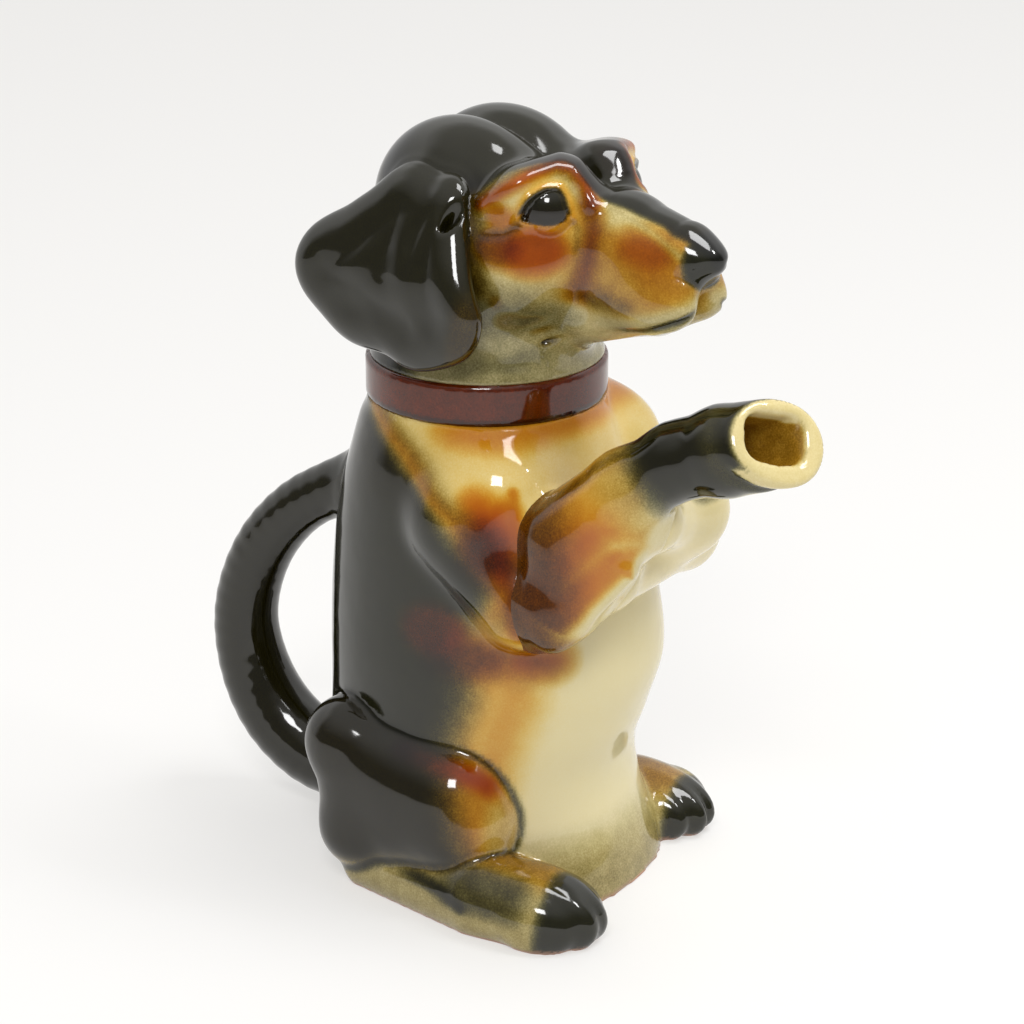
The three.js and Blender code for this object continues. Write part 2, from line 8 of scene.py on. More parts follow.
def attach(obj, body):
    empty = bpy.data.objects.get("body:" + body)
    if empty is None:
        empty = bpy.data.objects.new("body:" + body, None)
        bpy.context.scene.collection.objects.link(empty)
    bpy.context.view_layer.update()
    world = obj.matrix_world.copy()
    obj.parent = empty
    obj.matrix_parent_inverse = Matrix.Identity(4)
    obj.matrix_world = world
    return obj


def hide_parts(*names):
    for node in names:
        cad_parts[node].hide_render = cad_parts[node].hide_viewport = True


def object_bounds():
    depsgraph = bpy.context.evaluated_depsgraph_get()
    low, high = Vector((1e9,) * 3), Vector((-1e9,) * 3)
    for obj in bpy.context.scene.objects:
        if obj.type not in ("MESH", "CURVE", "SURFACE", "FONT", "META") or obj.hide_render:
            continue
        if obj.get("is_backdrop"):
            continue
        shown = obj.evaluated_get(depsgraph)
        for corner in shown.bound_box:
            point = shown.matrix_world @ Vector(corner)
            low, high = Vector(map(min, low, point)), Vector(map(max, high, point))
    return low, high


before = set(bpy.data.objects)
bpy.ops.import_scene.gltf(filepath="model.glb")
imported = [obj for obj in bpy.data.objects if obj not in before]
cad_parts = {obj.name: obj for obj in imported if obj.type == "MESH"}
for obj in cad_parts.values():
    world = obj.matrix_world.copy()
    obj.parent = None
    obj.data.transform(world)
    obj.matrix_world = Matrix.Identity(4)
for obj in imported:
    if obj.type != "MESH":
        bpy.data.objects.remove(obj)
cad_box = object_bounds()

# Lengths and heights are in millimetres, with the floor at 0, and angles are in degrees.
# The head has a frame of its own, which starts at HEAD_BASE and is turned by HEAD_TURN.
MM = 0.001
POT_TOP = 125.0
NECK_TOP = 135.2
HEAD_BASE = 131.0
SEAT = NECK_TOP - HEAD_BASE
HEAD_TURN = 10.0
TINY = 1e-6
# Steps of the grids on which the surfaces are found.
STEP_HEAD = 0.6
STEP_FINE = 0.75
STEP_BODY = 1.1


# Fields. A field takes points in millimetres and is negative inside its form.

def vec(*values):
    return np.array(values, np.float32)


def rotation(degrees):
    ax, ay, az = np.radians(degrees)
    x = np.array([[1, 0, 0], [0, math.cos(ax), -math.sin(ax)], [0, math.sin(ax), math.cos(ax)]])
    y = np.array([[math.cos(ay), 0, math.sin(ay)], [0, 1, 0], [-math.sin(ay), 0, math.cos(ay)]])
    z = np.array([[math.cos(az), -math.sin(az), 0], [math.sin(az), math.cos(az), 0], [0, 0, 1]])
    return (z @ y @ x).astype(np.float32)


def ellipsoid(p, centre, radii, degrees=(0, 0, 0)):
    q = p - vec(*centre)
    if any(degrees):
        q = q @ rotation(degrees)
    r = vec(*radii)
    a = q / r
    level = np.sqrt((a * a).sum(-1))
    b = a / r
    slope = np.sqrt((b * b).sum(-1))
    return level * (level - 1) / np.maximum(slope, TINY)


def bar(p, start, end, r0, r1):
    a, b = vec(*start), vec(*end)
    along = b - a
    h = np.clip(((p - a) @ along) / (along @ along), 0, 1)[..., None]
    q = p - a - h * along
    return np.sqrt((q * q).sum(-1)) - (r0 + (r1 - r0) * h[..., 0])


def chain(p, points, radii, soft=0.6):
    d = None
    for a, b, ra, rb in zip(points[:-1], points[1:], radii[:-1], radii[1:]):
        e = bar(p, a, b, ra, rb)
        d = e if d is None else join(d, e, soft)
    return d


def join(a, b, size):
    h = np.maximum(size - np.abs(a - b), 0) / size
    return np.minimum(a, b) - h * h * size * 0.25


def cut(a, b, size):
    """Takes the form b out of a, with a rounded edge."""
    return -join(-a, b, size)


def join_high(a, b, size):
    """What two solids share, with the edge rounded."""
    return -join(-a, -b, size)


def wash(d, soft):
    """How far a spray covers: 1 well inside the form d, 0 outside, with a soft border."""
    t = np.clip(0.5 - d / soft, 0, 1)
    return t * t * (3 - 2 * t)


def line(d, width):
    return np.exp(-(d / width) ** 2)


def groove(d, away, depth, width):
    """Presses a soft groove into the surface d where the distance away is small."""
    return d + depth * line(away, width)


def joined(p, forms, d=None):
    """Joins a row of forms, each given with how softly it joins the ones before and its measures."""
    for form, soft, *measures in forms:
        e = form(p, *measures)
        d = e if d is None else join(d, e, soft)
    return d


def smooth_rows(t, xs, ys):
    xs, ys = np.asarray(xs, np.float32), np.asarray(ys, np.float32)
    slopes = np.zeros_like(ys)
    slopes[1:-1] = (ys[2:] - ys[:-2]) / (xs[2:] - xs[:-2])[:, None]
    slopes[0] = (ys[1] - ys[0]) / (xs[1] - xs[0])
    slopes[-1] = (ys[-1] - ys[-2]) / (xs[-1] - xs[-2])
    t = np.clip(t, xs[0], xs[-1])
    i = np.clip(np.searchsorted(xs, t, side="right") - 1, 0, len(xs) - 2)
    span = xs[i + 1] - xs[i]
    u = ((t - xs[i]) / span)[..., None]
    span = span[..., None]
    u2, u3 = u * u, u * u * u
    return ((2 * u3 - 3 * u2 + 1) * ys[i] + (u3 - 2 * u2 + u) * span * slopes[i]
            + (3 * u2 - 2 * u3) * ys[i + 1] + (u3 - u2) * span * slopes[i + 1])


def smooth_path(points, per=6):
    """A finer row of points along a smooth curve through the given ones."""
    points = np.asarray(points, np.float32)
    t = np.arange(len(points), dtype=np.float32)
    fine = np.linspace(0, len(points) - 1, (len(points) - 1) * per + 1)
    return smooth_rows(fine.astype(np.float32), t, points)


def mirrored(p):
    q = p.copy()
    q[..., 0] = np.abs(q[..., 0])
    return q


# The trunk's section: height, half width, front depth, back depth, squareness.
TRUNK = np.array([
    [-6, 37, 44, 26, 2.6], [0, 37.5, 44, 29, 2.6], [8, 37.5, 42.5, 34, 2.5], [20, 37, 38.5, 39, 2.3],
    [32, 36.5, 37.5, 40.5, 2.2], [45, 36.5, 42, 40.5, 2.1], [60, 37, 46.5, 40.5, 2.05],
    [75, 36.5, 45, 40, 2.05], [90, 36, 41, 38.5, 2.05], [103, 35, 37, 36, 2.05],
    [112, 33.5, 34.5, 33.5, 2.05], [119, 31.5, 32, 31.8, 2.0], [124, 29.8, 29.8, 29.8, 2.0],
    [140, 29.5, 29.5, 29.5, 2.0]], np.float32)
TRUNK_SLOPE = 0.95
LEAST_LEVEL = 1e-3


def trunk(p):
    x, y, z = p[..., 0], p[..., 1], p[..., 2]
    section = smooth_rows(z, TRUNK[:, 0], TRUNK[:, 1:])
    width, front, back, power = np.moveaxis(section, -1, 0)
    depth = np.where(y < 0, front, back)
    level = ((np.abs(x) / width) ** power + (np.abs(y) / depth) ** power) ** (1 / power)
    return np.hypot(x, y) * (1 - 1 / np.maximum(level, LEAST_LEVEL)) * TRUNK_SLOPE


UPPER_ARMS = [
    (ellipsoid, 9, (24, -15, 106), (14.5, 17, 16)),
    (bar, 6, (30, -10, 101), (31, -26, 82), 12, 9.5),
]
LEFT_SHOULDER = [(ellipsoid, 6, (23, -21, 107), (13.5, 15, 14.5))]


def shoulders(p):
    return joined(p, LEFT_SHOULDER, joined(mirrored(p), UPPER_ARMS, trunk(p)))


# Each hind foot: the sole's bar from heel to ball, the paw, and how its toes spread.
RIGHT_FOOT = ((32.5, 16, 5), (39.0, -20, 7), 7.5, 11.4, (38.7, -33, 7), (12.1, 18.5, 11), 1.05)
LEFT_FOOT = ((31, 17, 3.5), (32, -24, 6.3), 6.5, 9, (32.5, -30.5, 6.5), (11.2, 16.5, 9.4), 1)
# Each toe: its place from the paw's middle, its turn and its half length.
TOES = ((-7.7, -6, 4, 9.5), (-2.7, -9.5, 1, 9.6), (2.6, -9.7, -3, 9.4), (7.4, -6.4, -9, 8.8))
TOE_HALF_WIDTH, TOE_HALF_HEIGHT, TOE_HEIGHT = 3.8, 6.8, 5.6
TOE_TILT, TOES_TURN = 6, -8
PAW_TURN = (4, 0, -10)


def hind_leg(m, foot):
    heel, ball, heel_size, ball_size, middle, half, spread = foot
    d = join(bar(m, heel, ball, heel_size, ball_size), ellipsoid(m, middle, half, PAW_TURN), 4)
    grown = 0.5 + 0.5 * spread
    toes = None
    for x, y, turn, long in TOES:
        place = (middle[0] + x * spread, middle[1] + y * (0.6 + 0.4 * spread), TOE_HEIGHT)
        half = (TOE_HALF_WIDTH * spread, long * grown, TOE_HALF_HEIGHT * grown)
        toe = ellipsoid(m, place, half, (TOE_TILT, 0, turn + TOES_TURN))
        toes = toe if toes is None else join(toes, toe, 1.2)
    return join(d, toes, 2.5)


# The thigh is a thick loop through four corners, given with their radii.
HIP, HIP_SIZE = (32, 21.9, 37.5), 10.1
KNEE, KNEE_SIZE = (32, -8, 29.5), 12.6
SHIN, SHIN_SIZE = (32, -10.3, 22.6), 13.5
HOCK, HOCK_SIZE = (32, 17.5, 15.8), 10.7
HAUNCH = [
    (bar, 0, HIP, KNEE, HIP_SIZE, KNEE_SIZE),
    (bar, 5, HOCK, SHIN, HOCK_SIZE, SHIN_SIZE),
    (bar, 5, HIP, HOCK, HIP_SIZE, HOCK_SIZE),
    (bar, 5, KNEE, SHIN, KNEE_SIZE, SHIN_SIZE),
    (bar, 4, HIP, (23, 29, 34), HIP_SIZE, 7.5),
    (bar, 4, HOCK, (24, 24.5, 16), HOCK_SIZE, 8),
    (ellipsoid, 6, (31, 4, 27), (13.8, 20, 15)),
]


def haunch(m):
    return joined(m, HAUNCH)


def legs(p):
    right = p.copy()
    right[..., 0] *= -1
    return np.where(p[..., 0] < 0, hind_leg(right, RIGHT_FOOT), hind_leg(p, LEFT_FOOT))


def pot_outside(p):
    d = shoulders(p)
    d = join(d, haunch(mirrored(p)), 1.8)
    d = join(d, legs(p), 2.2)
    return np.maximum(d, p[..., 2] - POT_TOP)


# The pot's wall, its floor and the ends of its hollow, and the opening in its neck.
WALL, FLOOR_THICKNESS, HOLLOW_TOP = 4.2, 5.5, 114
OPENING_RADIUS, OPENING_FOOT = 23.0, 110


def hollow(p):
    z = p[..., 2]
    belly = np.maximum(shoulders(p) + WALL, np.maximum(FLOOR_THICKNESS - z, z - HOLLOW_TOP))
    opening = np.maximum(np.hypot(p[..., 0], p[..., 1]) - OPENING_RADIUS, OPENING_FOOT - z)
    return join(belly, opening, 3)


def unit(*values):
    return (np.array(values) / np.linalg.norm(values)).astype(np.float32)


# The spout's bore from the hollow to the paw, and the mouth at its end.
BORE = [(-20, -18, 95), (-26, -44, 108), (-23.7, -63, 122.5), (-21.8, -76, 127.5), (-21, -86, 129.8)]
BORE_RADII = [4.4, 4.4, 4.4, 5, 5]
MOUTH_CENTRE = vec(-21.9, -88.6, 133.4)
MOUTH_FACING = unit(-0.45, -0.72, 0.53)
MOUTH_ACROSS = vec(0.732, -0.636, -0.244)
MOUTH_UP = np.cross(MOUTH_FACING, MOUTH_ACROSS)
PAW_AXIS = vec(-0.05, -0.9, 0.42)
SLOT_SHEAR = PAW_AXIS / (PAW_AXIS @ MOUTH_FACING)
SLOT_HALF_WIDTH, SLOT_HALF_HEIGHT, SLOT_ROUNDING, SLOT_DEPTH = 3.8, 1.6, 4.2, 13
SLOT_NARROWS, SLOT_NARROWS_OVER = 2.2, 16


def mouth_slant(p):
    return (p - MOUTH_CENTRE) @ MOUTH_FACING


def mouth_hollow(p):
    """A rounded slot that runs back from the mouth along the paw."""
    depth = mouth_slant(p)
    q = p - MOUTH_CENTRE - depth[..., None] * SLOT_SHEAR
    narrow = np.clip(-depth / SLOT_NARROWS_OVER, 0, 1) * SLOT_NARROWS
    u = np.abs(q @ MOUTH_ACROSS) - SLOT_HALF_WIDTH + narrow
    v = np.abs(q @ MOUTH_UP) - SLOT_HALF_HEIGHT + narrow * 0.3
    d = np.hypot(np.maximum(u, 0), np.maximum(v, 0)) + np.minimum(np.maximum(u, v), 0)
    return join_high(d - SLOT_ROUNDING, -SLOT_DEPTH - depth, 4)


def tube(p, points, radii, per):
    """A round form along a smooth curve, with its radius changing on the way."""
    return chain(p, smooth_path(points, per), smooth_path([[r] for r in radii], per)[:, 0], 0.3)


def bore(p):
    return join(tube(p, BORE, BORE_RADII, 4), mouth_hollow(p), 2)


# The right foreleg from the chest to the end of the paw, with the radii at its places.
LEG_BEND, LEG_BEND_SIZE = (-25.5, -52, 115.5), 9.6
WRIST, WRIST_SIZE = (-23.5, -64, 124.2), 8.9
PAW, PAW_SIZE = (-21.8, -75, 127.8), 11
PAW_END, PAW_END_SIZE = (-21.2, -91, 132.6), 10.6
SPOUT_LEG = [
    (bar, 0, (-30, -34, 84), (-26, -50, 106), 11, 10),
    (bar, 4, (-30, -35, 84), (-31, -31, 76.5), 10, 4),
    (bar, 7, (-28, -36, 101.5), LEG_BEND, 10.4, LEG_BEND_SIZE),
    (bar, 3, LEG_BEND, WRIST, LEG_BEND_SIZE, WRIST_SIZE),
    (bar, 6, (-36.5, -38, 79), (-32.5, -55, 97.5), 2.2, 2.2),
]
SPOUT_PAW = [(bar, 0, WRIST, PAW, WRIST_SIZE, PAW_SIZE), (bar, 1, PAW, PAW_END, PAW_SIZE, PAW_END_SIZE)]


def spout_outside(p):
    return join(joined(p, SPOUT_LEG), joined(p, SPOUT_PAW), 3)


LEFT_LEG = [
    (bar, 0, (33, -30, 80), (20, -44, 90), 11, 9),
    (bar, 5, (20, -44, 90), (9, -51, 97), 9, 8),
    (ellipsoid, 5, (4, -53.5, 100), (9, 11, 8.5), (-30, 0, 40)),
    (bar, 6, (16, -45, 89), (-20, -45, 90), 8.5, 7.5),
    (bar, 6, (4, -53, 99), (-16, -55, 105), 8, 7),
]


def left_outside(p):
    return joined(p, LEFT_LEG)


# The tail's line in the plane x = 0, from its root at the shoulders down to the base.
TAIL = [(28, 101), (44.4, 91.5), (56.3, 83.6), (65.9, 72.6), (71.9, 59.7), (73.7, 47), (70.6, 33.6),
        (63.8, 22.9), (53.5, 15.6), (42, 13.3), (30, 13.2)]
TAIL_RADII = [7, 7.2, 7.4, 7.8, 8.2, 8.6, 9.4, 10, 10.2, 10.2, 10.2]


def tail_outside(p):
    return tube(p, [(0, y, z) for y, z in TAIL], TAIL_RADII, 3)


# Pieces that are luted together share one flowing surface. Each piece keeps its own side
# of the line where the two forms meet and runs on a little way under the other.
CREASE = 0.38
SEAM = 1.6
LUTED_SOFT = 7


def own_side(flowing, mine, other):
    past = mine - other
    dip = CREASE * np.clip((past + SEAM / 2) / SEAM, 0, 1)
    return np.maximum(flowing + dip, past - SEAM)


def luted(base, spout, left):
    return join(base, join(spout, left, LUTED_SOFT), 3)


NECK_RADIUS, NECK_FOOT = 26.3, 115


def pot_field(p):
    body = pot_outside(p)
    spout, left, tail = spout_outside(p), left_outside(p), tail_outside(p)
    d = join(luted(body, spout, left), tail, LUTED_SOFT)
    for limb in (spout, left, tail):
        d = own_side(d, body, limb)
    rho, z = np.hypot(p[..., 0], p[..., 1]), p[..., 2]
    neck = np.maximum(rho - NECK_RADIUS, np.maximum(z - NECK_TOP, NECK_FOOT - z))
    d = np.minimum(d, neck)
    d = cut(d, hollow(p), 1.0)
    d = cut(d, bore(p), 0.8)
    return np.maximum(d, -z)


def spout_field(p):
    body, spout, left = shoulders(p), spout_outside(p), left_outside(p)
    d = luted(body, spout, left)
    d = own_side(own_side(d, spout, body), spout, left)
    slant = mouth_slant(p)
    lower_half = np.clip((131 - p[..., 2]) / 6, 0, 1)
    d = groove(d, slant + 4.6, 0.9 * lower_half, 1.3)
    d = cut(d, -slant, 2.0)
    return cut(d, bore(p), 1.8)


def left_foreleg_field(p):
    body, spout, left = shoulders(p), spout_outside(p), left_outside(p)
    d = luted(body, spout, left)
    return own_side(own_side(d, left, body), left, spout)


def tail_field(p):
    body, tail = shoulders(p), tail_outside(p)
    return np.maximum(own_side(join(body, tail, LUTED_SOFT), tail, body), -p[..., 2])


def to_head(p):
    """Points in the head's own frame: turned back, heights from the bottom of the neck."""
    t = math.radians(HEAD_TURN)
    c, s = math.cos(t), math.sin(t)
    x = p[..., 0] * c - p[..., 1] * s
    y = p[..., 0] * s + p[..., 1] * c
    return np.stack([x, y, p[..., 2] - HEAD_BASE], -1).astype(np.float32)


# The eye on the head's left side, in the head's own frame. The right one mirrors it.
EYE = vec(12.4, -28.7, 47.9)
EYE_RADIUS = 7.4
EYE_OUT = unit(0.83, -0.5, 0.16)
EYE_AHEAD = unit(-0.5, -0.83, 0)
EYE_UP = np.cross(EYE_OUT, EYE_AHEAD)
EYE_UP = EYE_UP * np.sign(EYE_UP[2])
# Outlines around the eye, as steps ahead and up from its middle.
EYE_OPENING = [(-5.6, -2.6), (-4.5, 0.1), (-2.6, 2.5), (0.4, 4.2), (2.5, 4.1), (3.9, 2.1), (4.6, -0.2),
               (5.0, -1.9), (2.8, -3.3), (0, -3.7), (-3.2, -3.3)]
BROW = [(-16, 0.5), (-9.9, 4.4), (-3.2, 8.4), (2.1, 10.6), (6.0, 9.6), (9.2, 5.6), (10.8, 1.5)]
CORNER_FOLD = [(-6.6, -4.2), (-9.9, -6.3), (-15, -6.9)]
TEAR_LINE = [(6.6, -3.0), (7.6, -5.0), (7.3, -9.5)]
# Lines on the head, in the head's own frame.
MOUTH_LINE = [(11.5, -23, 13.2), (9.5, -27.8, 14.2), (8.6, -33, 15.4), (7.6, -39, 16.9), (7.6, -46, 19.2),
              (8.8, -52, 21), (9.8, -56.8, 22.6), (9.6, -62.4, 24.8), (8, -65.4, 26.2), (4.5, -68.3, 28),
              (0, -69.5, 29)]
UPPER_JAW_FOLD = [(14, -24, 22), (18, -17, 18), (22, -10, 17)]
LOWER_JAW_FOLD = [(15, -24, 9), (19, -18, 8), (24, -9, 7.6)]
CHEEK_FOLD = [(19.5, -22, 42), (22, -16, 36), (23, -12, 27)]
SKULL_GROOVE = [(0, 18, 61), (0, 4, 65.5), (0, -12, 63.5), (0, -26, 57), (0, -33, 53)]
NOSTRIL = [(1.8, -71.3, 38), (4.6, -69.4, 38.6), (6.4, -66.4, 37)]
LIP_CLEFT = [(0, -72, 36), (0, -70, 27)]
NOSE_EDGE = [(7.6, -63, 36), (5.4, -67.4, 33.6), (0, -70.5, 33.2)]
# Grooves pressed into the head: the line, the depth and the half width.
FACE_GROOVES = [
    (MOUTH_LINE, 0.9, 0.75), (UPPER_JAW_FOLD, 0.5, 1.6), (LOWER_JAW_FOLD, 0.55, 1.6),
    (CHEEK_FOLD, 0.45, 2.2), (SKULL_GROOVE, 0.9, 2.2), (NOSTRIL, 1.1, 0.9),
    (LIP_CLEFT, 0.6, 0.6), (NOSE_EDGE, 0.6, 0.8),
]


def eye_steps(m):
    """How far ahead and up of the eye's middle each point lies, and how far out."""
    q = m - EYE
    return q @ EYE_AHEAD, q @ EYE_UP, q @ EYE_OUT


def flat_line(a, u, points):
    """Distance in the plane of the eye to a row of steps."""
    best = None
    for (a0, u0), (a1, u1) in zip(points[:-1], points[1:]):
        da, du = a1 - a0, u1 - u0
        h = np.clip(((a - a0) * da + (u - u0) * du) / (da * da + du * du), 0, 1)
        d = np.hypot(a - a0 - h * da, u - u0 - h * du)
        best = d if best is None else np.minimum(best, d)
    return best


def eye_opening(a, u):
    """Signed distance to the opening between the lids."""
    best = None
    for (a0, u0), (a1, u1) in zip(EYE_OPENING, EYE_OPENING[1:] + EYE_OPENING[:1]):
        long = math.hypot(a1 - a0, u1 - u0)
        d = ((a - a0) * (u0 - u1) + (u - u0) * (a1 - a0)) / long
        best = d if best is None else join_high(best, d, 0.8)
    return best


SKULL = [(ellipsoid, 0, (8, 0, 41.5), (17.5, 25, 23), (8, 0, 0))]
MUZZLE_STEP, MUZZLE_STEP_SIZE = (0, -42, 38.3), 13.2
MUZZLE = [
    (bar, 0, (0, -14, 35), MUZZLE_STEP, 18, MUZZLE_STEP_SIZE),
    (bar, 1, MUZZLE_STEP, (0, -59.5, 39), MUZZLE_STEP_SIZE, 8.2),
]
# The upper lip, the lower jaw, the cheek, the nose, the brow and the neck.
FACE = [
    (ellipsoid, 6, (4.8, -50.5, 29), (7.4, 16.2, 9), (2, 0, 6)),
    (bar, 5, (0, -18, 20.5), (0, -53, 23.6), 12.5, 4.8),
    (ellipsoid, 8, (14, -16, 32), (12, 16, 15)),
    (ellipsoid, 2.5, (0, -63.8, 39), (6.2, 6.8, 4.8)),
    (bar, 8, (8, -29, 52.8), (17, -24.5, 52), 6.4, 6),
    (bar, 8, (0, 0, 0.3), (0, 1, 27), 30.4, 23),
]


def head_outside(q):
    m = mirrored(q)
    return joined(m, FACE, join(joined(m, SKULL), joined(m, MUZZLE), 10))


def polyline(p, points):
    """Distance to a row of points."""
    d = None
    for a, b in zip(points[:-1], points[1:]):
        e = bar(p, a, b, 0, 0)
        d = e if d is None else np.minimum(d, e)
    return d


def eyeball(m):
    return ellipsoid(m, EYE, (EYE_RADIUS, EYE_RADIUS, EYE_RADIUS))


def head_face(q):
    """The head with its eyes, nostrils, mouth and folds."""
    m = mirrored(q)
    d = head_outside(q)
    a, u, o = eye_steps(m)
    near = wash(np.hypot(a, u) - 17, 4) * wash(-(o + 6), 4)
    opening = eye_opening(a, u)
    raised = 1.5 * line(flat_line(a, u, BROW), 2.6)
    raised = raised + 0.7 * line(opening - 1.1, 1.0) * wash(-u - 3, 3) + 0.35 * line(opening - 0.9, 0.8)
    raised = raised - 0.4 * line(flat_line(a, u, CORNER_FOLD), 1.1)
    raised = raised - 0.15 * line(flat_line(a, u, TEAR_LINE), 1.1)
    d = cut(d - raised * near, np.maximum(opening, -o), 0.7)
    d = join(d, eyeball(m), 0.15)
    for path, depth, width in FACE_GROOVES:
        d = groove(d, polyline(m, path), depth, width)
    return d


# The flange below the head with the hole through it, and the wall and front end of the hollow.
FLANGE_RADIUS, FLANGE_DEPTH, FLANGE_HOLE, FLANGE_HOLE_TOP = 22.5, 12, 19.5, 11
HEAD_WALL, HEAD_HOLLOW_FRONT = 3.6, -44


def head_field(p):
    q = to_head(p)
    rho, y, z = np.hypot(q[..., 0], q[..., 1]), q[..., 1], q[..., 2]
    d = cut(own_side_of_ears(q), z - SEAT, 0.8)
    flange = np.maximum(rho - FLANGE_RADIUS, np.maximum(SEAT - FLANGE_DEPTH - z, z - SEAT - 3))
    d = join(d, flange, 0.3)
    inside = np.maximum(head_outside(q) + HEAD_WALL, SEAT + HEAD_WALL - z)
    inside = np.maximum(inside, HEAD_HOLLOW_FRONT - y)
    inside = join(inside, np.maximum(rho - FLANGE_HOLE, z - FLANGE_HOLE_TOP), 2)
    return cut(d, inside, 0.6)


EAR_MIDDLE = 31.0
EAR_SEAM = 2.2
# Half the ear's thickness at its edge, and the dent in its front near the root.
EAR_HALF = 4.25
EAR_PIT = ((29, -12.6, 45.5), (2.2, 1.2, 5.5), (24, 0, 0))
# The ear's edge seen from the side, from its places relative to the middle.
EAR_EDGE = [
    (bar, 0, (0, 3, 13.5), (0, 20, -1.8), 9.8, 11.6),
    (bar, 4, (0, 20, -2), (0, -4, -10.8), 11.6, 12.6),
    (bar, 4, (0, 12, -7), (0, 11, -7), 13.4, 13.4),
    (bar, 5, (0, 2, 15), (0, 4, 0), 8, 13),
    (bar, 3, (0, -8.4, 17.4), (0, -10.8, -7.5), 5.2, 13.4),
    (bar, 3, (0, -7.5, 17.5), (0, 3, 14), 5.2, 8),
]


def ear_outside(q, side):
    x, y, z = q[..., 0] * side, q[..., 1], q[..., 2] - EAR_MIDDLE
    d = joined(np.stack([0 * y, y, z], -1), EAR_EDGE)
    middle = 33 - 0.42 * join_high(z, 0 * z, 6) - 0.05 * np.maximum(-z, 0)
    dish = wash(d + 9, 8)
    away = x - middle
    rounded = np.sqrt(np.maximum(d + 6.4, 0) ** 2 * 0.44 + away ** 2)
    e = rounded - EAR_HALF + dish * np.clip(away / 3, 0, 1)
    return cut(e * 0.9, ellipsoid(q * vec(side, 1, 1), *EAR_PIT), 2.0)


def own_side_of_ears(q):
    head = head_face(q)
    right, left = ear_outside(q, -1), ear_outside(q, 1)
    d = join(join(head, right, EAR_SEAM), left, EAR_SEAM)
    return own_side(own_side(d, head, right), head, left)


def ear_field(p, side):
    q = to_head(p)
    head, ear = head_outside(q), ear_outside(q, side)
    return own_side(join(head, ear, EAR_SEAM), ear, head)


COLLAR_RADIUS, COLLAR_HALF, COLLAR_SHORTER, COLLAR_ROUNDING = 28.35, 0.65, 0.95, 1.1


def collar_field(p):
    rho = np.hypot(p[..., 0], p[..., 1])
    middle, half_height = (POT_TOP + NECK_TOP) / 2, (NECK_TOP - POT_TOP) / 2 - COLLAR_SHORTER
    a = np.abs(rho - COLLAR_RADIUS) - COLLAR_HALF
    b = np.abs(p[..., 2] - middle) - half_height
    return np.hypot(np.maximum(a, 0), np.maximum(b, 0)) + np.minimum(np.maximum(a, b), 0) - COLLAR_ROUNDING


# Painting. Stains are sprayed over a cream glaze: rust goes from gold to red-brown as it
# gets thicker, dark goes from olive to black, and bare shows the unglazed clay. Some of the
# dark is painted shade, in creases, folds and low places.
BLACK = 1.03


def over(a, b):
    """Two sprays on top of each other, without piling up past the stronger one by much."""
    return np.maximum(a, b) + 0.35 * np.minimum(a, b)


def dab(p, centre, radii, soft=8):
    return wash(ellipsoid(p, centre, radii), soft)


def stroke(p, points, half, soft=4):
    return wash(polyline(p, points) - half, soft)


def toward(old, new, share):
    """Changes a spray to a new thickness where the share is high."""
    return old + (new - old) * share


def spray(rust, dark, p, rows):
    """Sprays rows of stains and painted shade on. Each has its rust, its dark, its sides, a form and its
    measures.
    """
    places = {"both": mirrored(p), "right": p}
    for more_rust, more_dark, sides, form, *measures in rows:
        share = form(places[sides], *measures)
        rust, dark = over(rust, more_rust * share), over(dark, more_dark * share)
    return rust, dark


# Where the dark side begins, as heights and places from front to back.
SIDE_EDGE = np.array([
    [0, -3], [30, -5], [46, -9], [58, -13], [69, -11], [78, -14], [84, -20], [90, -22],
    [98, -15], [106, -8], [112, 3], [117, 10], [121, 17], [125, 23], [136, 25]], np.float32)
POT_SPRAYS = [
    (0.3, 0, "both", stroke, [(31, -3, 117), (34, -12, 115.5), (34.5, -18, 113)], 1.2, 4),
    (1.05, 0, "both", stroke, [(38, -18, 109), (39, -21, 104), (38, -24, 97), (35, -25, 86)], 4, 9),
    (0.95, 0, "right", stroke, [(-36, -24, 107), (-39, -28, 98), (-40, -30, 90), (-38, -31, 81)], 4.5, 6),
    (0, 0.22, "right", stroke, [(-39, -28, 96), (-40, -30, 90), (-38, -31, 82)], 4, 6),
    (1.1, 0, "both", dab, (40, -22, 99), (6, 7, 8), 9),
    (0, 0.45, "both", dab, (41, -20, 98), (5, 6, 7), 9),
    (1.0, 0, "right", stroke, [(-33, -25, 112), (-33.5, -28, 98), (-33, -29, 86)], 1.6, 2.5),
    (1.1, 0, "both", dab, (29, -30, 68), (9, 7, 4.5), 10),
    (0.95, 0, "both", dab, (35, -15, 68), (6, 12, 6), 10),
]
ELBOW_PATCH = ((37, -5, 74), (6, 9, 7), 6)
THIGH_BAND = [(40, 2, 43), (41, -8, 40.5), (39, -15, 38.5), (35.5, -20, 34.5), (32, -22.5, 30)]
FOOT_SHADE = [(40, 4, 9), (44.5, -5, 10.5), (48, -13, 10.5), (50.5, -20, 8.5)]
FOOT_MARK = [(48, -34, 17.6), (46, -40, 16.5)]


